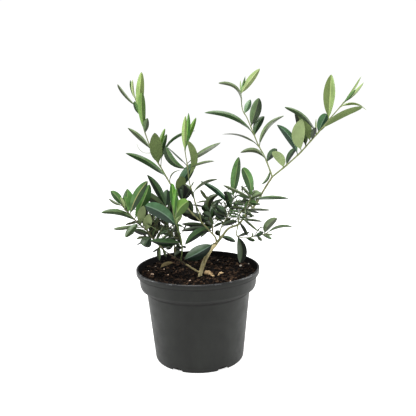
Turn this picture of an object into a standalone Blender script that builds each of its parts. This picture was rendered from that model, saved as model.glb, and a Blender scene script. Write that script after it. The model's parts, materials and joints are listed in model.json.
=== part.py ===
"""Potted olive tree: a turned nursery pot filled with peat, a short forked trunk and leafy shoots.

Sizes are in millimetres and are turned to metres where a mesh is made.
X runs to the right, Y to the back and Z up. The origin is the middle of the pot's underside.
"""
import math
import random

import bmesh
import bpy
from mathutils import Matrix, Vector
from mathutils.bvhtree import BVHTree

MM = 0.001
GAP = 0.3                # air between neighbouring solids
TURN_STEPS = 40          # segments of the turned pieces

# pot
POT_RADIUS = 86.0        # over the rolled lip
POT_HEIGHT = 130.5
WALL = 1.7
LIP_DEPTH = 9.0          # height of the rolled lip
LIP_ROUND = 1.6          # radius of the lip's top
COLLAR_TOP = 82.4        # outer radius just under the lip
COLLAR_FOOT = 81.0
COLLAR_BASE = 107.0      # height of the collar's lower edge
BODY_TOP = 72.4          # outer radius under the shoulder
BODY_TOP_HEIGHT = 99.5
BODY_FOOT = 62.6
FOOT_WIDTH = 3.5         # the ring that the pot stands on
RECESS = 3.5             # height of the underside inside that ring
FLOOR_TOP = 8.0
CENTRE_FOOT = 11.0       # radius of the flat foot in the middle
NOTCHES = 6
NOTCH_WIDTH = 17.0
NOTCH_HEIGHT = 4.6
NOTCH_REACH = 14.0

# peat
SOIL_TOP = 118.0
SOIL_FLAT = 45.0         # radius of the level middle
SOIL_EDGE_RISE = 6.0     # how much higher the peat lies at the wall

# trunk and boughs: places on the centre line, with the radius there
TRUNK = [((3, -8, 118.3), 4.8), ((3, -8, 120.3), 3.9), ((5, -7, 127), 3.2), ((8, -6, 136), 3.0),
         ((13, -4, 146), 2.9), ((20, 0, 155), 2.7), ((27, 4, 162), 2.5)]
LOW_LEFT_BOUGH = [((3, -8, 123), 1.7), ((-6, -10, 129), 1.5), ((-18, -12, 138), 1.3), ((-35, -14, 150), 1.1),
                  ((-45, -16, 158), 1.0)]
LEFT_BOUGH = [((27, 4, 162), 1.5), ((25, 6, 170), 1.2), ((18, 8, 178), 1.1), ((10, 10, 187), 1.05),
              ((3, 12, 194), 1.0), ((-7, 15, 204), 1.0), ((-13, 17, 211), 1.0)]
RIGHT_BOUGH = [((27, 4, 162), 2.1), ((35, 3, 172), 1.75), ((44, 2, 183), 1.6), ((58, 1, 189), 1.55),
               ((68, -1, 203), 1.5), ((78, -2, 213), 1.45), ((84, -4, 222), 1.4), ((92, -6, 237), 1.35),
               ((103, -8, 255), 1.3)]
LIMBS = {"trunk": TRUNK, "low_left_bough": LOW_LEFT_BOUGH, "left_bough": LEFT_BOUGH,
         "right_bough": RIGHT_BOUGH}
BARK = (0.36, 0.29, 0.17, 1.0)
LIMB_SIDES_SETTING = 2   # bevel resolution: eight sides

# leaves
LEAF_THICKNESS = 0.8
PETIOLE = (0.35, 0.25)   # half the width and half the thickness of a leaf's foot
LEAF_STATIONS = ((0.22, 0.72), (0.50, 1.0), (0.80, 0.80))   # along the leaf, share of its full width
SMALL_LEAF = 27.0        # a leaf shorter than this has one widest place
SMALL_LEAF_STATIONS = ((0.32, 0.92), (0.70, 0.92))
TEST_MARGIN = 0.4        # how far a new leaf keeps from another shoot
RULE_SLIMNESS = 4.6      # length of an unposed leaf over its width
TWIG_RADIUS = (1.2, 1.0)


class Shoot:
    """One leafy shoot.

    stem: places along the stem; radius: at its foot and its tip
    posed: leaves with a set pose, as station along the stem from 0 to 1, reach from root to tip,
        width, turn of the upper side towards the front in degrees (90 faces the front, less than 0
        shows the front its underside), and bow of the midrib
    pairs: how many pairs of leaves the growth rule adds, from the first station to the last
    quarter: turn from one pair to the next, 90 for crossed pairs, 0 for pairs to front and back
    length: shortest and longest leaf of the rule
    twigs: how many side twigs the rule adds
    """

    def __init__(self, name, stem, radius, posed, pairs, length, quarter=90, twigs=0,
                 first=0.12, last=0.95):
        self.name = name
        self.stem = [Vector(point) for point in stem]
        self.radius = radius
        self.posed = posed
        self.pairs = pairs
        self.length = length
        self.quarter = quarter
        self.twigs = twigs
        self.first = first
        self.last = last


SHOOTS = [
    Shoot("low_left_foliage",
          [(-45, -16, 158), (-53, -18, 168), (-60, -20, 177), (-67, -22, 188), (-78, -25, 199),
           (-94, -29, 219), (-99, -31, 227)],
          (1.9, 1.0),
          [(0.95, (-14, -8, 22), 10, 80, 2), (0.96, (-19, 8, 9), 4, 55, -1),
           (0.90, (-4, -8, 17), 5, 80, 0), (0.62, (-45, -14, 17), 8, 60, 7),
           (0.82, (-1, 8, 31), 17, 80, 1), (0.81, (-6, 3, 23), 9, 80, 0),
           (0.79, (26, -10, 45), 13, 80, 3), (0.68, (21, 4, 46), 15, 80, -1),
           (0.57, (7, -8, 27), 11, -80, 1), (0.49, (4, 2, 28), 8, 80, 0),
           (0.41, (4, -12, 26), 12, -80, 1), (0.59, (-17, -14, -15), 10, 80, 1),
           (0.58, (-37, 16, -9), 7, 35, -1), (0.37, (-19, -6, 7), 8, 80, -1),
           (0.30, (-10, -12, -10), 16, 80, 1), (0.30, (-23, 14, -15), 5, 25, 1),
           (0.09, (-12, 8, -10), 3, 75, 0), (0.12, (0, -6, -20), 6, 80, 1),
           (0.06, (6, -4, -12), 4, 80, 0), (0.32, (2, 12, 28), 9, 80, 0), (0.26, (6, 16, 27), 10, 80, 0),
           (0.27, (7, 4, 20), 10, 80, 0), (0.20, (10, 10, 19), 4, 80, 0), (0.22, (-8, 10, 18), 7, 80, 0),
           (0.16, (15, 6, 12), 3, 80, 0), (0.14, (18, 10, 8), 4, 80, 0), (0.10, (10, 4, -2), 6, 80, 0)],
          pairs=3, length=(22, 30), twigs=1),
    Shoot("tall_left_foliage",
          [(-13, 17, 211), (-27, 23, 231), (-37, 28, 245), (-47, 33, 263), (-58, 38, 281), (-64, 41, 296),
           (-70, 44, 314), (-75, 46, 332), (-80, 48, 352), (-83, 49, 366)],
          (1.9, 1.0),
          [(0.86, (6, -6, 56), 12, 80, 1), (0.70, (-1, -14, 55), 11, 80, 2),
           (0.69, (5, -12, 22), 9, 80, 1), (0.84, (-6, -8, 20), 6, 80, -1),
           (0.90, (-28, 10, 34), 8, 30, -2), (0.96, (-7, 4, 29), 5, 45, -1),
           (0.96, (-3, -6, 29), 5, 60, 2), (0.55, (-31, -10, 32), 8, 55, 3),
           (0.53, (-22, 6, 12), 4, 20, -7), (0.42, (-3, -16, 45), 18, -80, 1),
           (0.42, (12, 12, 41), 9, 80, 2), (0.46, (14, -4, 44), 8, 55, 1),
           (0.29, (-54, -22, 38), 12, 40, 6), (0.40, (51, -6, 49), 12, 15, 15),
           (0.16, (27, -16, 41), 15, 80, 1), (0.14, (8, -22, 27), 14, -80, -1),
           (0.06, (2, -10, 25), 16, 80, 0), (0.06, (12, -6, 18), 8, 80, 0),
           (0.07, (-3, -8, 18), 8, 80, 0), (0.24, (17, 10, 17), 4, 25, 6)],
          pairs=0, length=(26, 36), quarter=0),
    Shoot("second_left_foliage",
          [(6, 11, 192), (3, 8, 207), (-1, 6, 216), (-3, 4, 226), (-6, 2, 237), (-9, 0, 250),
           (-11, -4, 272), (-13, -6, 287), (-14, -7, 296)],
          (1.7, 1.0),
          [(0.96, (2, -6, 47), 8, 65, 1), (0.96, (6, -12, 51), 9, 45, -1), (0.98, (16, 8, 42), 8, 60, 2),
           (0.64, (0, -10, 48), 10, -80, -8), (0.80, (46, 6, 27), 9, 50, 2),
           (0.72, (36, -8, 12), 6, 35, 3), (0.74, (-28, -18, 31), 11, 80, -7),
           (0.78, (-27, 10, 25), 6, 20, 0), (0.45, (-8, -4, 9), 4, 80, 0), (0.31, (-4, -8, 15), 4, 80, 0),
           (0.27, (17, 6, 1), 3, 50, 1), (0.27, (3, -8, -15), 3, 55, 0), (0.48, (4, 6, 8), 2, 80, 0),
           (0.40, (35, 10, 18), 7, 30, 6)],
          pairs=0, length=(22, 30), quarter=0, first=0.3),
    Shoot("bright_foliage",
          [(-23, -12, 142), (-21, -18, 158), (-21, -23, 169), (-23, -29, 184), (-27, -35, 198),
           (-30, -40, 212), (-31, -43, 226)],
          (1.7, 1.0),
          [(0.87, (-1, -4, 40), 9, 80, -1), (0.82, (5, -12, 38), 7, 80, 1), (0.72, (0, -8, 34), 6, 45, 0),
           (0.75, (18, -10, 27), 17, 80, 4), (0.64, (7, 4, 16), 8, 80, 3),
           (0.62, (-40, -14, 33), 18, 80, 5), (0.34, (-41, -12, 7), 11, 80, -1),
           (0.28, (-9, 6, 25), 8, 80, 0), (0.26, (6, -6, 1), 4, 80, 0), (0.22, (-8, -4, 9), 4, 80, 0),
           (0.20, (-11, 6, -10), 7, 80, 0), (0.24, (-10, 4, 0), 7, 80, 0), (0.39, (-16, 4, 2), 3, 80, 0)],
          pairs=1, length=(20, 28), first=0.3),
    Shoot("upper_middle_foliage",
          [(103, -8, 255), (99, -2, 268), (94, 5, 282), (87, 14, 296), (81, 22, 312), (73, 31, 333),
           (67, 35, 345), (65, 40, 369)],
          (1.8, 1.0),
          [(0.85, (-33, -8, 31), 8, 40, 12), (0.98, (26, -8, 33), 10, 80, 1),
           (0.98, (12, 8, 21), 4, 70, 0), (0.98, (6, -4, 23), 4, 60, 0), (0.98, (0, 6, 18), 3, 45, 0),
           (0.51, (-68, -20, 31), 13, 35, 10), (0.76, (9, 8, 19), 9, 80, 0),
           (0.59, (10, -10, 40), 15, 80, 0), (0.49, (15, 10, 26), 11, 80, 4),
           (0.36, (36, 12, 41), 9, 40, 9), (0.36, (-50, 14, 17), 9, 15, 7),
           (0.18, (-36, -10, 13), 7, 60, 9), (0.17, (13, -8, 18), 10, 80, 2),
           (0.06, (-13, -8, -16), 4, 80, -3)],
          pairs=0, length=(24, 32), quarter=0, first=0.25),
    Shoot("right_foliage",
          [(103, -8, 255), (121, -15, 271), (138, -22, 288), (150, -28, 303), (159, -32, 314),
           (171, -37, 330), (184, -41, 346), (190, -43, 354)],
          (1.9, 1.0),
          [(0.15, (-17, -10, 22), 12, -80, 4), (0.18, (16, 12, 22), 8, 80, -3),
           (0.34, (-30, -12, 40), 11, 80, 5), (0.38, (-2, -16, 43), 17, -80, -5),
           (0.51, (-4, 6, 32), 11, -80, -1), (0.45, (-12, 18, 46), 13, 80, 3),
           (0.61, (-44, -10, 35), 10, 40, 6), (0.53, (2, -12, 17), 7, 80, 0),
           (0.62, (13, 8, 24), 14, 80, -1), (0.78, (-1, -12, 56), 16, 80, 0),
           (0.61, (-5, -16, 20), 4, 45, 0), (0.65, (52, -8, 29), 10, -65, 4),
           (0.92, (39, 12, -4), 7, 25, 8), (0.98, (20, -6, 32), 6, 40, 2), (0.98, (27, 7, 25), 6, 35, -1),
           (0.98, (12, -12, 16), 4, 80, 0)],
          pairs=0, length=(22, 32), quarter=0, first=0.2),
    Shoot("middle_right_foliage",
          [(58, 1, 188), (57, -6, 199), (60, -13, 209), (65, -18, 216), (70, -23, 224), (72, -26, 232)],
          (1.5, 1.0),
          [(0.96, (-11, -14, 42), 13, 80, 4), (0.96, (-36, -8, 19), 7, 30, 1),
           (0.98, (-12, 10, 14), 4, 80, 1), (0.93, (-16, -6, 6), 5, 80, 1),
           (0.90, (-12, -8, -1), 5, 80, 1), (0.98, (14, -10, 2), 5, 80, 7),
           (0.94, (14, -14, 9), 7, 80, 1), (0.89, (52, -4, 2), 9, 25, 3), (0.84, (8, -16, 1), 7, 80, 0),
           (0.74, (-17, -10, 7), 4, 80, 1), (0.68, (-18, 6, 3), 4, 80, 1), (0.54, (-14, -8, 5), 5, 80, 1),
           (0.42, (-13, 8, 2), 3, 80, 1), (0.35, (-14, -6, 4), 3, 80, 1), (0.24, (-14, 6, 2), 3, 80, 1),
           (0.26, (9, -8, 2), 3, 80, 0), (0.46, (18, -10, -5), 4, 55, 1), (0.50, (23, -14, -1), 4, 55, 1),
           (0.56, (36, -8, 0), 6, 25, 1), (0.61, (8, 10, 4), 3, 80, 0), (0.34, (24, -12, -20), 6, 30, 0),
           (0.20, (31, -14, -1), 6, 25, 1), (0.15, (11, -14, -19), 5, 80, 1),
           (0.13, (-22, -8, -4), 7, 80, 1)],
          pairs=2, length=(14, 20), twigs=1, first=0.3),
    Shoot("middle_foliage",
          [(31, 4, 167), (32, 7, 177), (35, 10, 185), (41, 13, 194), (45, 15, 202), (48, 18, 211),
           (52, 21, 224)],
          (1.5, 1.0),
          [(0.97, (8, -12, 59), 13, 80, -1), (0.70, (-5, -12, 28), 11, 80, 2),
           (0.79, (-42, 2, 36), 9, 50, 5), (0.60, (-17, -12, 14), 10, 80, 0),
           (0.53, (-16, -8, 8), 5, 80, 1), (0.47, (-16, 8, -1), 4, 80, 1),
           (0.41, (-16, -8, -6), 4, 80, 1), (0.38, (-12, 6, 7), 3, 80, 0), (0.06, (-5, -8, 11), 8, 80, 0),
           (0.08, (23, 10, -12), 7, 80, 1), (0.43, (-16, -2, 17), 9, 80, 0),
           (0.51, (-8, 8, 16), 9, 80, 0), (0.65, (10, -8, 12), 5, 80, 0)],
          pairs=3, length=(16, 24), twigs=1, first=0.25),
    Shoot("low_right_foliage",
          [(57, 1, 188), (55, -1, 180), (55, 0, 173), (64, 6, 168), (74, 12, 167), (85, 20, 167),
           (95, 28, 167), (104, 36, 168)],
          (1.4, 0.9),
          [(0.89, (16, -12, 25), 13, 80, -4), (0.96, (36, -6, 9), 6, 65, -5),
           (0.81, (16, 10, -10), 5, 80, 1), (0.68, (6, -10, -5), 5, 80, 0), (0.62, (11, -8, 9), 7, 80, 2),
           (0.42, (12, -8, -3), 5, 80, 0), (0.21, (2, -22, -33), 14, 80, 5), (0.23, (17, 8, 3), 5, 80, 0)],
          pairs=2, length=(14, 20), quarter=0, first=0.45),
    Shoot("fork_foliage",
          [(27, 3, 161), (25, -4, 164), (21, -9, 164)],
          (1.7, 1.3),
          [(0.90, (-40, -12, -18), 19, 80, -1)],
          pairs=0, length=(16, 22)),
    Shoot("back_foliage",
          [(22, 7, 174), (22, 22, 180), (22, 34, 187), (19, 46, 195), (17, 56, 205), (16, 63, 220)],
          (1.7, 1.0),
          [(0.62, (15, 6, 26), 10, 80, 9), (0.54, (13, 16, 21), 10, 80, 2),
           (0.60, (-10, -6, 14), 10, 80, 0), (0.46, (-12, -8, 11), 10, 80, 1),
           (0.48, (5, -6, 16), 9, 80, 0), (0.34, (-12, 2, 7), 10, 80, 0), (0.23, (-11, -6, 8), 9, 80, 0),
           (0.26, (-5, 8, 12), 9, 80, 0), (0.40, (-39, 4, 12), 12, 80, -1),
           (0.22, (-44, -4, 7), 8, 65, 1), (0.20, (-45, -10, -1), 8, 45, 2),
           (0.26, (-39, -34, -18), 12, 80, 4), (0.23, (-18, -20, -11), 5, 30, 1),
           (0.14, (-18, -6, -1), 5, 80, 0), (0.59, (-6, 10, 19), 9, 80, 0)],
          pairs=5, length=(20, 30), twigs=2, first=0.3),
    Shoot("back_left_foliage",
          [(-2, 13, 199), (-14, 30, 204), (-28, 43, 208), (-44, 54, 212), (-58, 62, 220)],
          (1.7, 1.0),
          [(0.08, (-6, 4, 20), 8, 80, 0), (0.10, (-13, 6, 6), 8, 80, -2), (0.06, (-17, 8, 3), 11, 80, 0)],
          pairs=6, length=(22, 32), twigs=1, first=0.3),
    Shoot("back_right_foliage",
          [(64, -1, 196), (68, 14, 201), (72, 28, 205), (76, 41, 208), (79, 54, 217)],
          (1.7, 1.0), [],
          pairs=5, length=(16, 24), twigs=2, first=0.3),
    Shoot("inner_left_foliage",
          [(-31, -13, 147), (-31, -6, 158), (-35, 1, 170), (-39, 5, 185), (-41, 10, 201), (-44, 14, 216)],
          (1.6, 1.0),
          [(0.98, (-23, -6, 45), 11, 80, 3), (0.90, (-31, -10, 27), 12, 80, 2),
           (0.96, (3, 6, 24), 13, 80, 0), (0.57, (-9, -4, 37), 10, 80, 3), (0.72, (5, 8, 25), 9, 80, 0),
           (0.42, (-9, -3, 17), 4, 80, 0), (0.48, (-16, -6, 6), 4, 80, 1), (0.38, (-20, 8, 17), 9, 80, 0),
           (0.22, (4, -6, -14), 7, 80, 0), (0.26, (-11, 6, -9), 7, 80, 0), (0.16, (6, 8, -12), 9, 80, 0),
           (0.68, (11, 10, 23), 10, 80, 0)],
          pairs=3, length=(18, 26), twigs=1, first=0.25),
]


# ---------------------------------------------------------------- lines and bodies

def place_on(line, station):
    """Point and direction at a station from 0 to 1 along a line of points."""
    steps = [(b - a).length for a, b in zip(line, line[1:])]
    left = max(0.0, min(1.0, station)) * sum(steps)
    for a, b, step in zip(line, line[1:], steps):
        if left <= step or b is line[-1]:
            return a + (b - a) * (left / step), (b - a).normalized()
        left -= step


def across(direction):
    """Two directions square to the given one: the first points to the back as far as it can."""
    back = Vector((0, 1, 0)) - direction * direction.y
    if back.length < 0.2:
        back = Vector((0, 0, 1)) - direction * direction.z
    back.normalize()
    return back, direction.cross(back)


def ring(centre, direction, radius, sides):
    """Corners of a regular section square to the direction."""
    u, v = across(direction)
    angles = [2 * math.pi * k / sides for k in range(sides)]
    return [centre + u * (radius * math.cos(a)) + v * (radius * math.sin(a)) for a in angles]


def limb_rings(line, radii, sides):
    """Sections of a tapered round limb, one at each place of its line."""
    rings = []
    for i, centre in enumerate(line):
        ahead = line[min(i + 1, len(line) - 1)] - line[max(i - 1, 0)]
        rings.append(ring(centre, ahead.normalized(), radii[i], sides))
    return rings


def loft(rings):
    """Vertices and faces of a closed body through sections; a section of one point is a tip."""
    verts = [corner for section in rings for corner in section]
    faces = [tuple(reversed(range(len(rings[0]))))]
    start = 0
    for low, high in zip(rings, rings[1:]):
        sides = len(low)
        top = start + sides
        for k in range(sides):
            after = (k + 1) % sides
            if len(high) == 1:
                faces.append((start + k, start + after, top))
            else:
                faces.append((start + k, start + after, top + after, top + k))
        start = top
    if len(rings[-1]) > 1:
        faces.append(tuple(range(start, start + len(rings[-1]))))
    return verts, faces


def leaf_rings(root, reach, width, face, lift, margin=0.0, start=0.0):
    """Three-sided sections of a leaf: flat on its upper side, with the midrib as a keel below.

    face: which way the upper side looks; lift: how far the middle bows out of the straight line
    """
    edge = face.cross(reach).normalized()
    rings = []
    stations = SMALL_LEAF_STATIONS if reach.length < SMALL_LEAF else LEAF_STATIONS
    for station, share in ((start, 0.0),) + stations:
        middle = root + reach * station + lift * (4 * station * (1 - station))
        spread = max(PETIOLE[0], width / 2 * share) + margin
        half = (LEAF_THICKNESS / 2 if share else PETIOLE[1]) + margin
        rings.append([middle + edge * spread + face * half, middle - edge * spread + face * half,
                      middle - face * half])
    rings.append([root + reach + reach.normalized() * margin])
    return rings


def leaf_faces(reach, stem_direction):
    """Front, flat and natural faces of a leaf: all are square to it.

    The natural face looks along the stem, the front one to the front, and the flat one is square to
    both the leaf and the front one, on the stem's side.
    """
    along = reach.normalized()
    natural = (stem_direction - along * stem_direction.dot(along)).normalized()
    front = (Vector((0, -1, 0)) + along * along.y).normalized()
    flat = along.cross(front)
    if flat.dot(natural) < 0:
        flat.negate()
    return front, flat, natural


# ---------------------------------------------------------------- growth

class Growth:
    """Plans every twig and leaf and keeps each shoot to its own space."""

    def __init__(self, shoots, limbs):
        self.pieces = {shoot.name: [] for shoot in shoots}
        self.trees = {}
        for name, limb in limbs.items():
            rings = limb_rings([Vector(place) for place, _ in limb], [radius for _, radius in limb], 8)
            self.trees[name] = [self.solid(rings)]
        for shoot in shoots:
            self.trees[shoot.name] = [self.solid(stem_rings(shoot, 0.12))]

    @staticmethod
    def solid(rings):
        """A body's search tree with its middle and the radius of the ball around it."""
        verts, faces = loft(rings)
        middle = sum(verts, Vector()) / len(verts)
        reach = max((corner - middle).length for corner in verts)
        return BVHTree.FromPolygons(verts, faces), middle, reach

    def is_clear(self, rings, owner, own_rings=None):
        """True where a body touches no other shoot or limb, and no leaf of its own shoot."""
        tree, middle, reach = self.solid(rings)
        for name, solids in self.trees.items():
            if name == owner:
                continue
            for other, other_middle, other_reach in solids:
                if (middle - other_middle).length < reach + other_reach and tree.overlap(other):
                    return False
        if own_rings is None:
            return True
        tree, middle, reach = self.solid(own_rings)
        for other, other_middle, other_reach in self.trees[owner][1:]:
            if (middle - other_middle).length < reach + other_reach and tree.overlap(other):
                return False
        return True

    def add_leaf(self, owner, root, reach, width, face, lift, posed):
        """Adds a leaf where it is clear; a posed leaf may touch others of its own shoot."""
        pose = (root, reach, width, face, lift)
        wide = leaf_rings(*pose, margin=TEST_MARGIN)
        own = None if posed else leaf_rings(*pose, margin=0.1, start=0.2)
        if reach.z + root.z < SOIL_TOP + 2 or not self.is_clear(wide, owner, own):
            return False
        self.pieces[owner].append(leaf_rings(*pose))
        self.trees[owner].append(self.solid(leaf_rings(*pose, start=0.15)))
        return True

    def add_twig(self, owner, line, radii):
        """Adds a bare twig where it is clear."""
        wide = limb_rings(line, [radius + TEST_MARGIN for radius in radii], 3)
        own = limb_rings([line[0].lerp(line[1], 0.5)] + line[1:], radii, 3)
        if not self.is_clear(wide, owner, own):
            return False
        rings = limb_rings(line, radii, 3)
        self.pieces[owner].append(rings)
        self.trees[owner].append(self.solid(rings))
        return True


def stem_rings(shoot, first_station=0.0):
    """Sections of a shoot's stem from a station to its tip."""
    foot, _ = place_on(shoot.stem, first_station)
    length = sum((b - a).length for a, b in zip(shoot.stem, shoot.stem[1:]))
    line = [foot]
    radii = [shoot.radius[0]]
    walked = 0.0
    for a, b in zip(shoot.stem, shoot.stem[1:]):
        walked += (b - a).length
        if walked / length > first_station + 0.02:
            line.append(b)
            radii.append(shoot.radius[0] + (shoot.radius[1] - shoot.radius[0]) * walked / length)
    return limb_rings(line, radii, 3)


def grow_pose(shoot, growth):
    """The shoot's posed leaves."""
    for station, reach, width, turn, bow in shoot.posed:
        root, direction = place_on(shoot.stem, station)
        front, flat, _ = leaf_faces(Vector(reach), direction)
        face = flat * math.cos(math.radians(turn)) + front * math.sin(math.radians(turn))
        growth.add_leaf(shoot.name, root, Vector(reach), width, face, flat * bow, True)


def grow_pairs(owner, line, pairs, first, last, quarter, length, chance, growth):
    """Opposite pairs of leaves along a line, each pair turned from the one before."""
    for i in range(pairs):
        station = first + (last - first) * (i + chance.uniform(0.2, 0.8)) / pairs
        root, direction = place_on(line, station)
        u, v = across(direction)
        turned = math.radians(quarter * i + chance.uniform(-28, 28))
        for half_turn in (0.0, math.pi):
            outward = u * math.cos(turned + half_turn) + v * math.sin(turned + half_turn)
            spread = math.radians(chance.uniform(38, 72))
            size = chance.uniform(*length)
            reach = (direction * math.cos(spread) + outward * math.sin(spread)) * size
            reach.z -= 0.12 * size
            _, _, natural = leaf_faces(reach, direction)
            face = Matrix.Rotation(math.radians(chance.uniform(-50, 50)), 3, reach) @ natural
            growth.add_leaf(owner, root, reach, size / RULE_SLIMNESS, face, natural * (0.05 * size), False)


def grow_rule(shoot, growth, chance):
    """Side twigs with small leaves, then pairs of leaves on the stem itself."""
    for i in range(shoot.twigs):
        station = shoot.first + (shoot.last - shoot.first) * (i + 0.35) / shoot.twigs
        root, direction = place_on(shoot.stem, station)
        for attempt in range(4):
            u, v = across(direction)
            turned = chance.uniform(0, 2 * math.pi)
            outward = u * math.cos(turned) + v * math.sin(turned)
            size = chance.uniform(24, 34)
            middle = root + (direction * 0.5 + outward * 0.75) * (size * 0.5)
            tip = middle + (direction * 0.8 + outward * 0.5 + Vector((0, 0, 0.1))) * (size * 0.5)
            line = [root, middle, tip]
            if growth.add_twig(shoot.name, line, [TWIG_RADIUS[0], TWIG_RADIUS[0], TWIG_RADIUS[1]]):
                small = (shoot.length[0] * 0.6, shoot.length[0] * 0.85)
                grow_pairs(shoot.name, line, 3, 0.35, 1.0, 90, small, chance, growth)
                break
    grow_pairs(shoot.name, shoot.stem, shoot.pairs, shoot.first, shoot.last, shoot.quarter,
               shoot.length, chance, growth)


def plan_growth(shoots, limbs):
    """All the posed leaves first, then the rule's twigs and leaves, shoot by shoot."""
    growth = Growth(shoots, limbs)
    for shoot in shoots:
        grow_pose(shoot, growth)
    for number, shoot in enumerate(shoots):
        grow_rule(shoot, growth, random.Random(number))
    return growth


# ---------------------------------------------------------------- Blender objects

def new_material(name, colour, roughness):
    material = bpy.data.materials.new(name)
    material.use_nodes = True
    shader = material.node_tree.nodes["Principled BSDF"]
    shader.inputs["Base Color"].default_value = colour
    shader.inputs["Roughness"].default_value = roughness
    shader.inputs["Metallic"].default_value = 0.0
    return material


def new_collection(name):
    collection = bpy.data.collections.new(name)
    bpy.context.scene.collection.children.link(collection)
    return collection


def mesh_object(name, verts, faces, collection):
    """Object from vertices in millimetres."""
    mesh = bpy.data.meshes.new(name)
    mesh.from_pydata([corner * MM for corner in verts], [], faces)
    mesh.validate()
    obj = bpy.data.objects.new(name, mesh)
    collection.objects.link(obj)
    return obj


def turned(name, profile, collection):
    """Body turned about Z from a profile of (radius, height) that runs down its outer side."""
    verts = [Vector((radius, 0, height)) for radius, height in profile]
    mesh = bpy.data.meshes.new(name)
    mesh.from_pydata([corner * MM for corner in verts], [(i, i + 1) for i in range(len(verts) - 1)], [])
    obj = bpy.data.objects.new(name, mesh)
    collection.objects.link(obj)
    screw = obj.modifiers.new("Turn", "SCREW")
    screw.axis = "Z"
    screw.steps = TURN_STEPS
    screw.render_steps = TURN_STEPS
    screw.use_merge_vertices = True
    screw.merge_threshold = 0.00005
    screw.use_smooth_shade = True
    return obj


def arc(centre, radius, start, end, steps):
    """Points of an arc in the profile plane, with angles in degrees from the outward direction."""
    points = []
    for i in range(steps + 1):
        angle = math.radians(start + (end - start) * i / steps)
        points.append((centre[0] + radius * math.cos(angle), centre[1] + radius * math.sin(angle)))
    return points


def pot_profile():
    """Closed section of the pot: up its inside, over the rolled lip and down its outside."""
    inner_foot = BODY_FOOT - WALL
    inside = [(0, FLOOR_TOP), (inner_foot, FLOOR_TOP), (BODY_TOP - WALL, BODY_TOP_HEIGHT),
              (BODY_TOP - WALL + 1.5, BODY_TOP_HEIGHT + 2.5), (COLLAR_FOOT - WALL - 1.0, COLLAR_BASE - 0.5),
              (COLLAR_FOOT - WALL, COLLAR_BASE + 2), (COLLAR_TOP - WALL, POT_HEIGHT - LIP_DEPTH),
              (POT_RADIUS - 2 * LIP_ROUND, POT_HEIGHT - LIP_ROUND - 0.4)]
    lip = arc((POT_RADIUS - LIP_ROUND, POT_HEIGHT - LIP_ROUND), LIP_ROUND, 150, 0, 4)
    outside = [(POT_RADIUS, POT_HEIGHT - 0.7 * LIP_DEPTH), (POT_RADIUS - 0.9, POT_HEIGHT - 0.92 * LIP_DEPTH),
               (COLLAR_TOP, POT_HEIGHT - LIP_DEPTH), (COLLAR_FOOT, COLLAR_BASE),
               (COLLAR_FOOT - 1.2, COLLAR_BASE - 3.0), (BODY_TOP + 4.0, BODY_TOP_HEIGHT + 2.6),
               (BODY_TOP + 1.2, BODY_TOP_HEIGHT + 0.9), (BODY_TOP, BODY_TOP_HEIGHT - 1.5),
               (BODY_FOOT, 1.6), (BODY_FOOT - 1.0, 0)]
    underside = [(BODY_FOOT - FOOT_WIDTH, 0), (BODY_FOOT - FOOT_WIDTH - 0.6, RECESS),
                 (CENTRE_FOOT + 1.0, RECESS), (CENTRE_FOOT, 0), (0, 0)]
    return inside + lip + outside + underside


def build_pot(collection, cutters):
    """Turned pot with arched drain notches cut through its foot."""
    pot = turned("pot", pot_profile(), collection)
    for number in range(NOTCHES):
        angle = math.radians(360 * (number + 0.5) / NOTCHES - 90)
        middle = BODY_FOOT - 2
        bpy.ops.mesh.primitive_cylinder_add(
            vertices=16, radius=NOTCH_WIDTH / 2 * MM, depth=NOTCH_REACH * MM,
            location=(middle * math.cos(angle) * MM, middle * math.sin(angle) * MM, 0),
            rotation=(math.pi / 2, 0, angle + math.pi / 2))
        cutter = bpy.context.object
        cutter.name = f"notch_cutter_{number + 1}"
        cutter.scale = (1, NOTCH_HEIGHT / (NOTCH_WIDTH / 2), 1)
        cutter.hide_render = True
        cutter.display_type = "WIRE"
        for holder in list(cutter.users_collection):
            holder.objects.unlink(cutter)
        cutters.objects.link(cutter)
    cut = pot.modifiers.new("Notches", "BOOLEAN")
    cut.operation = "DIFFERENCE"
    cut.operand_type = "COLLECTION"
    cut.collection = cutters
    cut.solver = "EXACT"
    pot.data.materials.append(new_material("pot_plastic", (0.035, 0.037, 0.037, 1), 0.45))
    return pot


def build_soil(collection):
    """The peat that fills the pot, level where the trunk stands."""
    gap = GAP + 0.1
    inner_foot = BODY_FOOT - WALL - gap
    edge = COLLAR_TOP - WALL - gap
    profile = [(0, SOIL_TOP), (SOIL_FLAT, SOIL_TOP), ((SOIL_FLAT + edge) / 2, SOIL_TOP + 0.4 * SOIL_EDGE_RISE),
               (edge, SOIL_TOP + SOIL_EDGE_RISE), (COLLAR_FOOT - WALL - gap, COLLAR_BASE + 2),
               (COLLAR_FOOT - WALL - 1.0 - gap, COLLAR_BASE - 0.5 + gap),
               (BODY_TOP - WALL + 1.5 - gap, BODY_TOP_HEIGHT + 2.5 + gap),
               (BODY_TOP - WALL - gap, BODY_TOP_HEIGHT), (inner_foot, FLOOR_TOP + gap), (0, FLOOR_TOP + gap)]
    soil = turned("soil", profile, collection)
    soil.data.materials.append(new_material("peat", (0.045, 0.025, 0.016, 1), 0.95))
    return soil


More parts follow.
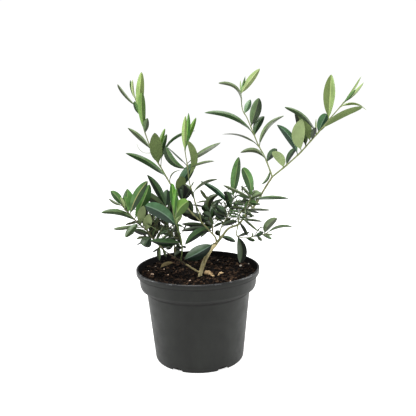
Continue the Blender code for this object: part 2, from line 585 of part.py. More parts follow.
def build_limb(name, limb, first_station, collection, material):
    """Trunk or bough as a bevelled curve with its own radius at each place."""
    line = [Vector(place) for place, _ in limb]
    foot, _ = place_on(line, first_station)
    length = sum((b - a).length for a, b in zip(line, line[1:]))
    walked = 0.0
    places = [(foot, limb[0][1])]
    for a, (b, radius) in zip(line, limb[1:]):
        walked += (Vector(b) - a).length
        if walked / length > first_station + 0.02:
            places.append((Vector(b), radius))
    curve = bpy.data.curves.new(name, "CURVE")
    curve.dimensions = "3D"
    curve.bevel_depth = MM
    curve.bevel_resolution = LIMB_SIDES_SETTING
    curve.use_fill_caps = True
    curve.twist_mode = "MINIMUM"
    spline = curve.splines.new("POLY")
    spline.points.add(len(places) - 1)
    for point, (place, radius) in zip(spline.points, places):
        point.co = (*(place * MM), 1)
        point.radius = radius
    obj = bpy.data.objects.new(name, curve)
    collection.objects.link(obj)
    curve.materials.append(material)
    return obj


def gap_to(tree, corner):
    """Distance from a point to a body, or less than nothing inside it."""
    place, normal, _, distance = tree.find_nearest(corner)
    return distance if (corner - place).dot(normal) > 0 else -distance


def clear_station(line, radius, sides, trees):
    """The first station along a line where its section is clear of the bodies given."""
    for step in range(400):
        station = step * 0.0025
        centre, direction = place_on(line, station)
        corners = ring(centre, direction, radius, sides)
        middles = [a.lerp(b, 0.5) for a, b in zip(corners, corners[1:] + corners[:1])]
        if all(gap_to(tree, point) >= GAP for tree in trees for point in corners + middles + [centre]):
            return station
    return 1.0


def largest_piece(mesh):
    """Makes the faces triangles, drops folds, and every scrap not joined to the largest piece."""
    bm = bmesh.new()
    bm.from_mesh(mesh)
    bmesh.ops.triangulate(bm, faces=bm.faces)
    twins = {}
    for face in bm.faces:
        twins.setdefault(frozenset(face.verts), []).append(face)
    folds = [face for pair in twins.values() if len(pair) == 2 for face in pair]
    bmesh.ops.delete(bm, geom=folds, context="FACES")
    left = set(bm.faces)
    groups = []
    while left:
        border = [left.pop()]
        group = []
        while border:
            face = border.pop()
            group.append(face)
            for edge in face.edges:
                for other in edge.link_faces:
                    if other in left:
                        left.discard(other)
                        border.append(other)
        groups.append(group)
    groups.sort(key=len)
    for group in groups[:-1]:
        bmesh.ops.delete(bm, geom=group, context="FACES")
    bm.to_mesh(mesh)
    bm.free()


def build_mass(shoot, pieces, neighbours, collection, material):
    """One shoot: its stem with every twig and leaf joined to it."""
    station = clear_station(shoot.stem, shoot.radius[0], 3, neighbours)
    mass = mesh_object(shoot.name, *loft(stem_rings(shoot, station)), collection)
    joined = new_collection(shoot.name + "_pieces")
    for number, rings in enumerate(pieces):
        mesh_object(f"{shoot.name}_{number}", *loft(rings), joined)
    union = mass.modifiers.new("Join", "BOOLEAN")
    union.operation = "UNION"
    union.operand_type = "COLLECTION"
    union.collection = joined
    union.solver = "MANIFOLD"
    evaluated = mass.evaluated_get(bpy.context.evaluated_depsgraph_get())
    mesh = bpy.data.meshes.new_from_object(evaluated)
    mass.modifiers.clear()
    mass.data = mesh
    for piece in list(joined.objects):
        bpy.data.objects.remove(piece)
    bpy.data.collections.remove(joined)
    largest_piece(mesh)
    mesh.materials.clear()
    mesh.materials.append(material)
    return mass


def limb_tree(limb, first_station=0.0):
    """Search tree of a limb's body."""
    line = [Vector(place) for place, _ in limb]
    foot, _ = place_on(line, first_station)
    radii = [radius for _, radius in limb]
    verts, faces = loft(limb_rings([foot] + line[1:], radii, 8))
    return BVHTree.FromPolygons(verts, faces)


def main():
    for obj in list(bpy.data.objects):
        bpy.data.objects.remove(obj)
    tree = new_collection("potted_olive_tree")
    cutters = new_collection("cutters")
    build_pot(tree, cutters)
    build_soil(tree)

    bark = new_material("bark", BARK, 0.8)
    standing = []
    for name, limb in LIMBS.items():
        line = [Vector(place) for place, _ in limb]
        station = clear_station(line, limb[0][1], 8, standing)
        build_limb(name, limb, station, tree, bark)
        standing.append(limb_tree(limb, station))

    green = new_material("olive_leaf", (0.07, 0.14, 0.05, 1), 0.5)
    growth = plan_growth(SHOOTS, LIMBS)
    for shoot in SHOOTS:
        build_mass(shoot, growth.pieces[shoot.name], standing, tree, green)


main()
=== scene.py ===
"""Looks of the potted olive tree: its leaves and twigs, bark, peat and nursery pot.

Sizes are in millimetres and are turned to metres where a mesh is made.
X runs to the right, Y to the back and Z up, as in the frame.
"""

import json
import math
import random
from dataclasses import dataclass, field

import bmesh
import bpy
from mathutils import Matrix, Vector, noise
from mathutils.bvhtree import BVHTree

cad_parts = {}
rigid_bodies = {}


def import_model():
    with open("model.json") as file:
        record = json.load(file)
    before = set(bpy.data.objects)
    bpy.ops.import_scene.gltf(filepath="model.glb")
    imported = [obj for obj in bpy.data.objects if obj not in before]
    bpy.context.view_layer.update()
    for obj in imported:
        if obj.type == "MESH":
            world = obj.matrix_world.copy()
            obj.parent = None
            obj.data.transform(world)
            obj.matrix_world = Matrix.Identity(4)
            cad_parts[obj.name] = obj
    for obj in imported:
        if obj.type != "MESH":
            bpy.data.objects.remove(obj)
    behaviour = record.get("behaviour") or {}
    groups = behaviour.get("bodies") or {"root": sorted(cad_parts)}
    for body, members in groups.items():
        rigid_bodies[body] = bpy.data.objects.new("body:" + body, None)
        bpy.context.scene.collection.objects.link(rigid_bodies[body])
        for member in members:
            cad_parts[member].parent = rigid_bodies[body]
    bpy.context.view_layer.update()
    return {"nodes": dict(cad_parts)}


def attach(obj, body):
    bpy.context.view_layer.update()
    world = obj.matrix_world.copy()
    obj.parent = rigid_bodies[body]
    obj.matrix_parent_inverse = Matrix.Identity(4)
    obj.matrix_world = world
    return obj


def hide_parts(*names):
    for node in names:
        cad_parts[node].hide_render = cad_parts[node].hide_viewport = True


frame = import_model()

MM = 0.001

# trunk and boughs: places on the centre line, with the radius there
TRUNK = [((3, -8, 118.3), 4.8), ((3, -8, 120.3), 3.9), ((5, -7, 127), 3.2), ((8, -6, 136), 3.0),
         ((13, -4, 146), 2.9), ((20, 0, 155), 2.7), ((27, 4, 162), 2.5)]
LOW_LEFT_BOUGH = [((3, -8, 123), 1.7), ((-6, -10, 129), 1.5), ((-18, -12, 138), 1.3),
                  ((-35, -14, 150), 1.1), ((-45, -16, 158), 1.0)]
LEFT_BOUGH = [((27, 4, 162), 1.5), ((25, 6, 170), 1.2), ((18, 8, 178), 1.1), ((10, 10, 187), 1.05),
              ((3, 12, 194), 1.0), ((-7, 15, 204), 1.0), ((-13, 17, 211), 1.0)]
RIGHT_BOUGH = [((27, 4, 162), 2.1), ((35, 3, 172), 1.75), ((44, 2, 183), 1.6), ((58, 1, 189), 1.55),
               ((68, -1, 203), 1.5), ((78, -2, 213), 1.45), ((84, -4, 222), 1.4), ((92, -6, 237), 1.35),
               ((103, -8, 255), 1.3)]
LIMBS = {"trunk": TRUNK, "low_left_bough": LOW_LEFT_BOUGH, "left_bough": LEFT_BOUGH,
         "right_bough": RIGHT_BOUGH}

# bark: colours of its darker streaks, its ground and its ridges
BARKS = {"tan": ((130, 116, 78), (204, 190, 140), (234, 222, 178)),
         "olive": ((84, 84, 54), (128, 130, 90), (160, 160, 120)),
         # painted shade: darker grey bark for the far part of the low left bough
         "grey": ((50, 46, 34), (84, 76, 58), (118, 108, 86))}
TAN_SHARE = 0.42         # how much of the low left bough is tan; the rest is grey, painted shade
LIMB_STEP = 0.8
LIMB_SIDES = 28
LIMB_SHARE = 0.97        # the limb's mean radius over that of its solid
SLIM_SHARE = 0.84        # the same for the low left bough
RIDGES, KNOTS, CRACKS = 0.10, 0.09, 0.20    # depths of the bark's relief over the radius
FLARE_LOBES, FLARE_FADE = 0.14, 4.0         # root flare, and the height over which it fades
FOOT_WAIST, WAIST_FADE = 0.42, 8.0          # how the foot narrows above the peat, and over what height

# pot
POT_RADIUS = 86.0        # over the rolled lip
POT_HEIGHT = 130.5
WALL = 1.7
LIP_DEPTH = 9.0
LIP_ROUND = 1.6
COLLAR_LEDGE = POT_HEIGHT - LIP_DEPTH    # underside of the lip
COLLAR_TOP = 82.4
COLLAR_FOOT = 81.0
COLLAR_BASE = 107.0
BODY_TOP = 72.4
BODY_TOP_HEIGHT = 99.5
BODY_FOOT = 62.6
FOOT_WIDTH = 3.5
RECESS = 3.5
FLOOR_TOP = 8.0
CENTRE_FOOT = 11.0
NOTCHES = 6
NOTCH_WIDTH = 17.0
NOTCH_HEIGHT = 4.6
NOTCH_REACH = 14.0
EDGE_ROUND = 0.35
POT_STEPS = 180          # segments around the pot
NOTCH_SIDES = 40

# peat
SOIL_TOP = 118.0
SOIL_FLAT = 45.0         # radius of the level middle
SOIL_EDGE_RISE = 6.0     # how much higher the peat lies at the wall
SOIL_EDGE = 80.0         # radius where the peat meets the wall
SOIL_SIDES = 220
SOIL_MIDDLE = 30.0
SOIL_STEPS = (1.1, 1.5)  # distance of the surface's rings, outside and inside of SOIL_MIDDLE
CRUMBS = 5600
CRUMB_BROWNS = [(13, 10, 9), (22, 15, 11), (40, 28, 20), (76, 58, 44), (54, 41, 31)]
# x, y, size, colour and flatness of the bark chips that lie on the peat
CHIPS = [(11, 0, 6.5, "tan", 0.8), (15, 5, 7.0, "tan", 0.8), (16, -5, 6.5, "tan", 0.7),
         (20, -9, 5.0, "tan", 0.7), (20, 2, 4.5, "tan", 0.7), (12, 8, 4.5, "tan", 0.8),
         (29, -6, 6.0, "tan", 0.8), (32, 2, 6.0, "tan", 0.8), (28, 34, 5.5, "brown", 0.5),
         (34, 30, 5.0, "brown", 0.5), (45, 48, 4.5, "brown", 0.5), (48, -13, 4.5, "brown", 0.6),
         (67, 0, 4.0, "brown", 0.5), (-22, 23, 3.5, "brown", 0.5), (-28, -19, 3.5, "brown", 0.6),
         (56, -36, 4.0, "brown", 0.5), (4, -34, 3.5, "brown", 0.6), (-36, 34, 3.6, "brown", 0.5),
         (-52, -30, 3.8, "brown", 0.5)]
# x, y, radius and colour of the grains
GRAINS = [(-64, -3, 2.4, "pink"), (-62, 30, 1.3, "white"), (-49, 24, 1.6, "pink"), (-42, 2, 1.5, "pink"),
          (-11, -29, 1.9, "pink"), (62, 25, 1.9, "white"), (41, 78, 1.2, "white"), (74, 28, 0.9, "white"),
          (-31, 56, 0.9, "white"), (43, -38, 1.2, "pink"), (30, 60, 0.9, "white"), (-30, -46, 1.1, "white"),
          (-70, 10, 1.0, "white"), (10, 66, 0.9, "pink")]
DRY_LEAF_PLACE = (-54, 30)
DRY_LEAF_REACH = (17, 17, 2)
DRY_LEAF_WIDTH = 6.0

# the rule's test bodies
LEAF_THICKNESS = 0.8
PETIOLE = (0.35, 0.25)
LEAF_STATIONS = ((0.22, 0.72), (0.50, 1.0), (0.80, 0.80))
SMALL_LEAF = 27.0
SMALL_LEAF_STATIONS = ((0.32, 0.92), (0.70, 0.92))
LIMB_SOLID_SIDES = 8
STEM_SOLID_SIDES = 3
STEM_START = 0.12        # stations where the solids of a stem and a leaf begin
LEAF_START = 0.15
OWN_START = 0.2          # the same, and the margin, against the leaves of the leaf's own shoot
OWN_MARGIN = 0.1
POSE = (0, 80)           # bow and turn of a posed leaf that names none
TEST_MARGIN = 0.4
RULE_SLIMNESS = 4.6
RULE_LAST = 0.95         # the last station on a stem where the rule adds anything
TWIG_RADIUS = (1.2, 1.0)
TWIG_TRIES = 4
# side twigs and fine twigs: range of length, lean along the stem and away from it, and lift of the tip
SIDE_TWIG = ((24, 34), 0.5, 0.75, 0.1)
FINE_TWIG = ((16, 32), 0.45, 0.8, 0.15)
TWIG_TIP = (0.8, 0.5)    # lean of a twig's outer half
# their leaves: how many pairs, the station of the first, and the range of length over the shoot's shortest
SIDE_LEAVES = (3, 0.35, (0.6, 0.85))
FINE_LEAVES = (4, 0.3, (0.45, 0.8))
# ranges that each pair is drawn from: place in its share of the line, and turns in degrees
PAIR_PLACE = (0.2, 0.8)
PAIR_TURN = (-28, 28)
LEAF_ANGLE = (38, 72)    # off the stem
LEAF_TURN = (-50, 50)    # about its midrib
LEAF_SAG, LEAF_BOW = 0.12, 0.05    # over its length

# the leaves as they show
STALK_SHARE = 0.07       # length of the leaf's stalk over the leaf's length
STALK_RADIUS = 0.55
BLADE_THICKNESS = 0.45
RIB_SHARE = 0.085        # half the midrib over half the blade
BLADE_STATIONS = (0.0, 0.04, 0.09, 0.16, 0.25, 0.36, 0.47, 0.58, 0.68, 0.77, 0.85, 0.92, 0.97, 1.0)
SMALL_BLADE_STATIONS = (0.0, 0.07, 0.16, 0.3, 0.46, 0.62, 0.78, 0.91, 1.0)
BLADE_ACROSS = (-1.0, -0.55, -RIB_SHARE, RIB_SHARE, 0.55, 1.0)
STEM_SHARE = 0.62        # a stem's radius over that of its three-sided solid
STEM_SIDES = 10
TWIG_SIDES = 6
STEM_STEP = 2.5
FINE_TWIG_RADIUS = 0.45
NODE_SWELLING, NODE_REACH = 0.28, 1.8       # how a stem swells where a leaf leaves it, and how far
# ranges that each leaf's form is drawn from
BLADE_RISE = (0.62, 0.86)
BLADE_FALL = (0.50, 0.84)
BLADE_FOLD = (-0.40, -0.06)
BLADE_ROLL = (0.0, 0.24)
BLADE_TWIST = (-8, 8)
BLADE_DROOP = (0.0, 0.035)
# what all leaves share
RIPPLE, RIPPLES = 0.03, 9
RIB_SINK = 0.10
RIB_KEEL = 0.25
LEAST_HALF = 0.14
TWIST_CENTRE = 0.3       # station that keeps its turn
STALK_END = 0.2          # station where the stalk has run into the midrib
STALK_TAPER, STALK_DEPTH = 0.35, 1.6
BLADE_TAPER = 0.6        # how much thinner the blade is at its tip
BLADE_OPENS = 6          # one over the share of the blade that opens from the stalk to its full form
TWIG_TIP_SHARE = 0.6     # a stem's radius at its very tip

# leaf tones: colour of the upper side, of the midrib and of the underside, in screen values up to 255
TONES = {
    "m": ((44, 76, 32), (98, 118, 76), (104, 116, 80)),         # mature
    "t": ((42, 80, 54), (108, 136, 112), (100, 118, 92)),       # mature with a blue cast
    "g": ((58, 106, 38), (128, 154, 92), (112, 130, 84)),       # fresh
    "r": ((48, 86, 35), (159, 159, 102), (106, 123, 77)),       # fresh with a yellow midrib
    "j": ((140, 150, 100), (150, 160, 110), (150, 160, 110)),   # a dry curl
    "d": ((12, 21, 9), (48, 58, 35), (51, 60, 39)),             # painted shade: near black, for leaves shaded inside the crown
    "o": ((43, 54, 31), (83, 87, 51), (86, 90, 59)),            # olive brown
    "q": ((42, 62, 49), (113, 136, 119), (106, 123, 98)),       # old, grey-green
    "s": ((92, 108, 74), (118, 130, 99), (120, 130, 101)),      # silvery
    "u": ((60, 82, 46), (110, 124, 80), (126, 140, 96)),        # turned over: its underside shows
    "z": ((62, 80, 50), (128, 144, 98), (150, 168, 116)),       # turned over, young
    "v": ((64, 88, 36), (106, 122, 68), (110, 128, 78)),        # turned over, older
    "l": ((153, 180, 96), (182, 202, 128), (156, 176, 112)),    # young
    "y": ((174, 194, 124), (204, 214, 154), (182, 198, 140)),   # at the tip of a shoot
    "b": ((58, 124, 10), (126, 168, 70), (92, 134, 50)),        # bright young
    "c": ((96, 138, 46), (134, 162, 88), (114, 140, 78)),       # bright
    "p": ((156, 180, 116), (176, 194, 140), (162, 180, 130)),   # pale, at the tip of the bright shoot
    "e": ((90, 103, 71), (111, 119, 88), (107, 116, 88)),       # grey-olive
    "w": ((66, 89, 52), (103, 120, 82), (101, 116, 84)),        # grey-green
    "x": ((49, 69, 50), (77, 94, 73), (85, 98, 77)),            # dark grey-green
    "n": ((24, 50, 23), (73, 100, 54), (81, 100, 62)),          # dark and fresh
    "k": ((33, 45, 20), (72, 78, 38), (75, 82, 48)),            # dark olive
    "h": ((98, 138, 94), (142, 170, 130), (134, 158, 122)),     # pale with a blue cast
}
CURL = "j"
PALE = "lypch"             # tones that vary less over the blade
CURL_SHARE = 0.3           # a dry curl's width over that of its leaf in the solid
PAINTED_SHEEN_COLOUR = (150, 178, 126)    # painted sheen: the colour that the half blade toward the sky is mixed toward
# painted sheen: the share of that colour in the half blade toward the sky
PAINTED_SHEEN_SHARE = 0.30
PAINTED_SHADE_SHARE = 0.72         # painted shade: the other half's colour over the tone's
LEAF_SPREAD = (0.17, 0.32)  # how much a pale and another tone vary over the blade
LEAF_PATCHES = 90          # patches of colour per metre
# stems and twigs: colour, its spread, patches per metre, roughness, specular and bump
WOODS = {"khaki": ((98, 96, 68), 0.25, 200, 0.75, 0.2, 0.3),
         "olive": ((128, 136, 92), 0.18, 160, 0.65, 0.25, 0.2),
         "pale": ((112, 126, 76), 0.18, 160, 0.65, 0.25, 0.2),
         "fine": ((72, 74, 48), 0.25, 200, 0.75, 0.2)}

# studio and camera
FLOOR_RADIUS = 6.0         # in metres
FLOOR_GLOW = 0.80          # keeps the floor white up to the horizon
FLOOR_DIM = 0.6            # its glow on other things, over the glow that shows
PAINTED_SHADE_INSET = 4.5          # how far the painted shade under the pot, a dark disc, ends inside its foot
WORLD_SEEN, WORLD_LIGHT = 1.05, 0.27
LIGHTS = [("top", (-0.25, -0.45, 1.5), 0.7, 20), ("back", (0.3, 0.8, 1.3), 0.9, 8),
          ("right", (1.3, 0.2, 0.6), 0.7, 11), ("left", (-1.3, 0.1, 0.6), 0.7, 7)]
LIGHTS_AIM = (0, 0, 0.15)
CAMERA_PLACE = (0, -779.5, 360.1)
CAMERA_YAW = 0.0202
CAMERA_PITCH = 0.1868
CAMERA_ROLL = -0.0194


@dataclass
class Shoot:
    """One leafy shoot.

    stem, radius: places along the stem, and its radius at foot and tip
    posed: leaves with a set pose, as station along the stem, reach from root to tip, width, tone, bow of
        the midrib and turn of the upper side towards the front in degrees; the last ones left out stand
        for POSE
    pairs, length, quarter, twigs, first: what the growth rule adds, and from which station on
    tones: tones of the rule's leaves, in turn
    fine: how many thin twigs are tried up to the station fine_last, and fine_tones those of their leaves
    wood: which colour the stem has
    """

    name: str
    stem: list
    posed: list = field(default_factory=list)
    radius: tuple = (1.7, 1.0)
    pairs: int = 0
    length: tuple = (0, 0)
    quarter: int = 90
    twigs: int = 0
    first: float = 0.12
    tones: str = ""
    fine: int = 0
    fine_tones: str = ""
    fine_last: float = 0.9
    wood: str = "khaki"

    def __post_init__(self):
        self.stem = [Vector(place) for place in self.stem]


SHOOTS = [
    Shoot("low_left_foliage", radius=(1.9, 1.0), stem=[
        (-45, -16, 158), (-53, -18, 168), (-60, -20, 177), (-67, -22, 188), (-78, -25, 199),
        (-94, -29, 219), (-99, -31, 227)
    ], posed=[
        (0.95, (-14, -8, 22), 10, "g", 2), (0.96, (-19, 8, 9), 4, "e", -1, 55),
        (0.90, (-4, -8, 17), 5, "y"), (0.62, (-45, -14, 17), 8, "w", 7, 60),
        (0.82, (-1, 8, 31), 17, "g", 1), (0.81, (-6, 3, 23), 9, "g"), (0.79, (26, -10, 45), 13, "r", 3),
        (0.68, (21, 4, 46), 15, "g", -1), (0.57, (7, -8, 27), 11, "u", 1, -80), (0.49, (4, 2, 28), 8, "d"),
        (0.41, (4, -12, 26), 12, "u", 1, -80), (0.59, (-17, -14, -15), 10, "w", 1),
        (0.58, (-37, 16, -9), 7, "s", -1, 35), (0.37, (-19, -6, 7), 8, "d", -1),
        (0.30, (-10, -12, -10), 16, "x", 1), (0.30, (-23, 14, -15), 5, "d", 1, 25),
        (0.09, (-12, 8, -10), 3, "d", 0, 75), (0.12, (0, -6, -20), 6, "o", 1), (0.06, (6, -4, -12), 4, "o"),
        (0.32, (2, 12, 28), 9, "d"), (0.26, (6, 16, 27), 10, "d"), (0.27, (7, 4, 20), 10, "k"),
        (0.20, (10, 10, 19), 4, "e"), (0.22, (-8, 10, 18), 7, "d"), (0.16, (15, 6, 12), 3, "e"),
        (0.14, (18, 10, 8), 4, "d"), (0.10, (10, 4, -2), 6, "d")
    ], pairs=3, length=(22, 30), twigs=1, tones="mtgm", fine=38, fine_tones="dmdokd", fine_last=0.5),
    Shoot("tall_left_foliage", radius=(1.9, 1.0), stem=[
        (-13, 17, 211), (-27, 23, 231), (-37, 28, 245), (-47, 33, 263), (-58, 38, 281), (-64, 41, 296),
        (-70, 44, 314), (-75, 46, 332), (-80, 48, 352), (-83, 49, 366)
    ], posed=[
        (0.86, (6, -6, 56), 12, "l", 1), (0.70, (-1, -14, 55), 11, "c", 2), (0.69, (5, -12, 22), 9, "w", 1),
        (0.84, (-6, -8, 20), 6, "g", -1), (0.90, (-28, 10, 34), 8, "e", -2, 30),
        (0.96, (-7, 4, 29), 5, "g", -1, 45), (0.96, (-3, -6, 29), 5, "y", 2, 60),
        (0.55, (-31, -10, 32), 8, "s", 3, 55), (0.53, (-22, 6, 12), 4, "j", -7, 20),
        (0.42, (-3, -16, 45), 18, "v", 1, -80), (0.42, (12, 12, 41), 9, "m", 2),
        (0.46, (14, -4, 44), 8, "c", 1, 55), (0.29, (-54, -22, 38), 12, "m", 6, 40),
        (0.40, (51, -6, 49), 12, "m", 15, 15), (0.16, (27, -16, 41), 15, "t", 1),
        (0.14, (8, -22, 27), 14, "v", -1, -80), (0.06, (2, -10, 25), 16, "d"), (0.06, (12, -6, 18), 8, "d"),
        (0.07, (-3, -8, 18), 8, "x"), (0.24, (17, 10, 17), 4, "e", 6, 25)
    ], wood="olive"),
    Shoot("second_left_foliage", stem=[
        (6, 11, 192), (3, 8, 207), (-1, 6, 216), (-3, 4, 226), (-6, 2, 237), (-9, 0, 250), (-11, -4, 272),
        (-13, -6, 287), (-14, -7, 296)
    ], posed=[
        (0.96, (2, -6, 47), 8, "l", 1, 65), (0.96, (6, -12, 51), 9, "b", -1, 45),
        (0.98, (16, 8, 42), 8, "c", 2, 60), (0.64, (0, -10, 48), 10, "v", -8, -80),
        (0.80, (46, 6, 27), 9, "s", 2, 50), (0.72, (36, -8, 12), 6, "e", 3, 35),
        (0.74, (-28, -18, 31), 11, "m", -7), (0.78, (-27, 10, 25), 6, "x", 0, 20),
        (0.45, (-8, -4, 9), 4, "s"), (0.31, (-4, -8, 15), 4, "k"), (0.27, (17, 6, 1), 3, "e", 1, 50),
        (0.27, (3, -8, -15), 3, "d", 0, 55), (0.48, (4, 6, 8), 2, "e"), (0.40, (35, 10, 18), 7, "s", 6, 30)
    ], wood="olive"),
    Shoot("bright_foliage", stem=[
        (-23, -12, 142), (-21, -18, 158), (-21, -23, 169), (-23, -29, 184), (-27, -35, 198),
        (-30, -40, 212), (-31, -43, 226)
    ], posed=[
        (0.87, (-1, -4, 40), 9, "b", -1), (0.82, (5, -12, 38), 7, "b", 1),
        (0.72, (0, -8, 34), 6, "p", 0, 45), (0.75, (18, -10, 27), 17, "c", 4),
        (0.64, (7, 4, 16), 8, "p", 3), (0.62, (-40, -14, 33), 18, "t", 5),
        (0.34, (-41, -12, 7), 11, "n", -1), (0.28, (-9, 6, 25), 8, "d"), (0.26, (6, -6, 1), 4, "d"),
        (0.22, (-8, -4, 9), 4, "d"), (0.20, (-11, 6, -10), 7, "d"), (0.24, (-10, 4, 0), 7, "d"),
        (0.39, (-16, 4, 2), 3, "d")
    ], pairs=1, length=(20, 28), first=0.3, tones="gmd", fine=20, fine_tones="dnd", fine_last=0.6,
          wood="pale"),
    Shoot("upper_middle_foliage", radius=(1.8, 1.0), stem=[
        (103, -8, 255), (99, -2, 268), (94, 5, 282), (87, 14, 296), (81, 22, 312), (73, 31, 333),
        (67, 35, 345), (65, 40, 369)
    ], posed=[
        (0.85, (-33, -8, 31), 8, "e", 12, 40), (0.98, (26, -8, 33), 10, "y", 1),
        (0.98, (12, 8, 21), 4, "g", 0, 70), (0.98, (6, -4, 23), 4, "g", 0, 60),
        (0.98, (0, 6, 18), 3, "p", 0, 45), (0.51, (-68, -20, 31), 13, "m", 10, 35),
        (0.76, (9, 8, 19), 9, "h"), (0.59, (10, -10, 40), 15, "w"), (0.49, (15, 10, 26), 11, "n", 4),
        (0.36, (36, 12, 41), 9, "s", 9, 40), (0.36, (-50, 14, 17), 9, "s", 7, 15),
        (0.18, (-36, -10, 13), 7, "e", 9, 60), (0.17, (13, -8, 18), 10, "x", 2),
        (0.06, (-13, -8, -16), 4, "w", -3)
    ], wood="olive"),
    Shoot("right_foliage", radius=(1.9, 1.0), stem=[
        (103, -8, 255), (121, -15, 271), (138, -22, 288), (150, -28, 303), (159, -32, 314), (171, -37, 330),
        (184, -41, 346), (190, -43, 354)
    ], posed=[
        (0.15, (-17, -10, 22), 12, "z", 4, -80), (0.18, (16, 12, 22), 8, "x", -3),
        (0.34, (-30, -12, 40), 11, "t", 5), (0.38, (-2, -16, 43), 17, "z", -5, -80),
        (0.51, (-4, 6, 32), 11, "v", -1, -80), (0.45, (-12, 18, 46), 13, "k", 3),
        (0.61, (-44, -10, 35), 10, "w", 6, 40), (0.53, (2, -12, 17), 7, "d"),
        (0.62, (13, 8, 24), 14, "t", -1), (0.78, (-1, -12, 56), 16, "l"),
        (0.61, (-5, -16, 20), 4, "l", 0, 45), (0.65, (52, -8, 29), 10, "v", 4, -65),
        (0.92, (39, 12, -4), 7, "l", 8, 25), (0.98, (20, -6, 32), 6, "l", 2, 40),
        (0.98, (27, 7, 25), 6, "l", -1, 35), (0.98, (12, -12, 16), 4, "g")
    ], wood="olive"),
    Shoot("middle_right_foliage", radius=(1.5, 1.0), stem=[
        (58, 1, 188), (57, -6, 199), (60, -13, 209), (65, -18, 216), (70, -23, 224), (72, -26, 232)
    ], posed=[
        (0.96, (-11, -14, 42), 13, "g", 4), (0.96, (-36, -8, 19), 7, "e", 1, 30),
        (0.98, (-12, 10, 14), 4, "e", 1), (0.93, (-16, -6, 6), 5, "m", 1), (0.90, (-12, -8, -1), 5, "d", 1),
        (0.98, (14, -10, 2), 5, "s", 7), (0.94, (14, -14, 9), 7, "s", 1),
        (0.89, (52, -4, 2), 9, "m", 3, 25), (0.84, (8, -16, 1), 7, "m"), (0.74, (-17, -10, 7), 4, "e", 1),
        (0.68, (-18, 6, 3), 4, "m", 1), (0.54, (-14, -8, 5), 5, "k", 1), (0.42, (-13, 8, 2), 3, "m", 1),
        (0.35, (-14, -6, 4), 3, "m", 1), (0.24, (-14, 6, 2), 3, "m", 1), (0.26, (9, -8, 2), 3, "m"),
        (0.46, (18, -10, -5), 4, "m", 1, 55), (0.50, (23, -14, -1), 4, "d", 1, 55),
        (0.56, (36, -8, 0), 6, "s", 1, 25), (0.61, (8, 10, 4), 3, "e"),
        (0.34, (24, -12, -20), 6, "e", 0, 30), (0.20, (31, -14, -1), 6, "s", 1, 25),
        (0.15, (11, -14, -19), 5, "d", 1), (0.13, (-22, -8, -4), 7, "d", 1)
    ], pairs=2, length=(14, 20), twigs=1, first=0.3, tones="mmsm", fine=9, fine_tones="xwkd",
          fine_last=0.85, wood="olive"),
    Shoot("middle_foliage", radius=(1.5, 1.0), stem=[
        (31, 4, 167), (32, 7, 177), (35, 10, 185), (41, 13, 194), (45, 15, 202), (48, 18, 211),
        (52, 21, 224)
    ], posed=[
        (0.97, (8, -12, 59), 13, "g", -1), (0.70, (-5, -12, 28), 11, "n", 2),
        (0.79, (-42, 2, 36), 9, "t", 5, 50), (0.60, (-17, -12, 14), 10, "x"),
        (0.53, (-16, -8, 8), 5, "d", 1), (0.47, (-16, 8, -1), 4, "d", 1), (0.41, (-16, -8, -6), 4, "d", 1),
        (0.38, (-12, 6, 7), 3, "e"), (0.06, (-5, -8, 11), 8, "d"), (0.08, (23, 10, -12), 7, "x", 1),
        (0.43, (-16, -2, 17), 9, "x"), (0.51, (-8, 8, 16), 9, "x"), (0.65, (10, -8, 12), 5, "d")
    ], pairs=3, length=(16, 24), twigs=1, first=0.25, tones="mdmt", fine=48, fine_tones="xwdkedxs",
          wood="olive"),
    Shoot("low_right_foliage", radius=(1.4, 0.9), stem=[
        (57, 1, 188), (55, -1, 180), (55, 0, 173), (64, 6, 168), (74, 12, 167), (85, 20, 167),
        (95, 28, 167), (104, 36, 168)
    ], posed=[
        (0.89, (16, -12, 25), 13, "s", -4), (0.96, (36, -6, 9), 6, "w", -5, 65),
        (0.81, (16, 10, -10), 5, "m", 1), (0.68, (6, -10, -5), 5, "s"), (0.62, (11, -8, 9), 7, "x", 2),
        (0.42, (12, -8, -3), 5, "m"), (0.21, (2, -22, -33), 14, "d", 5), (0.23, (17, 8, 3), 5, "d")
    ], pairs=2, length=(14, 20), quarter=0, first=0.45, tones="sm", fine=3, fine_tones="xw", wood="olive"),
    Shoot("fork_foliage", radius=(1.7, 1.3), stem=[
        (27, 3, 161), (25, -4, 164), (21, -9, 164)
    ], posed=[
        (0.90, (-40, -12, -18), 19, "q", -1)
    ]),
    Shoot("back_foliage", stem=[
        (22, 7, 174), (22, 22, 180), (22, 34, 187), (19, 46, 195), (17, 56, 205), (16, 63, 220)
    ], posed=[
        (0.62, (15, 6, 26), 10, "k", 9), (0.54, (13, 16, 21), 10, "x", 2), (0.60, (-10, -6, 14), 10, "n"),
        (0.46, (-12, -8, 11), 10, "x", 1), (0.48, (5, -6, 16), 9, "n"), (0.34, (-12, 2, 7), 10, "x"),
        (0.23, (-11, -6, 8), 9, "d"), (0.26, (-5, 8, 12), 9, "k"), (0.40, (-39, 4, 12), 12, "d", -1),
        (0.22, (-44, -4, 7), 8, "d", 1, 65), (0.20, (-45, -10, -1), 8, "d", 2, 45),
        (0.26, (-39, -34, -18), 12, "n", 4), (0.23, (-18, -20, -11), 5, "d", 1, 30),
        (0.14, (-18, -6, -1), 5, "d"), (0.59, (-6, 10, 19), 9, "d")
    ], pairs=5, length=(20, 30), twigs=2, first=0.3, tones="dmdt", fine=56, fine_tones="xwexdks"),
    Shoot("back_left_foliage", stem=[
        (-2, 13, 199), (-14, 30, 204), (-28, 43, 208), (-44, 54, 212), (-58, 62, 220)
    ], posed=[
        (0.08, (-6, 4, 20), 8, "d"), (0.10, (-13, 6, 6), 8, "x", -2), (0.06, (-17, 8, 3), 11, "d")
    ], pairs=6, length=(22, 32), twigs=1, first=0.3, tones="dmtd", fine=20, fine_tones="dkdx"),
    Shoot("back_right_foliage", stem=[
        (64, -1, 196), (68, 14, 201), (72, 28, 205), (76, 41, 208), (79, 54, 217)
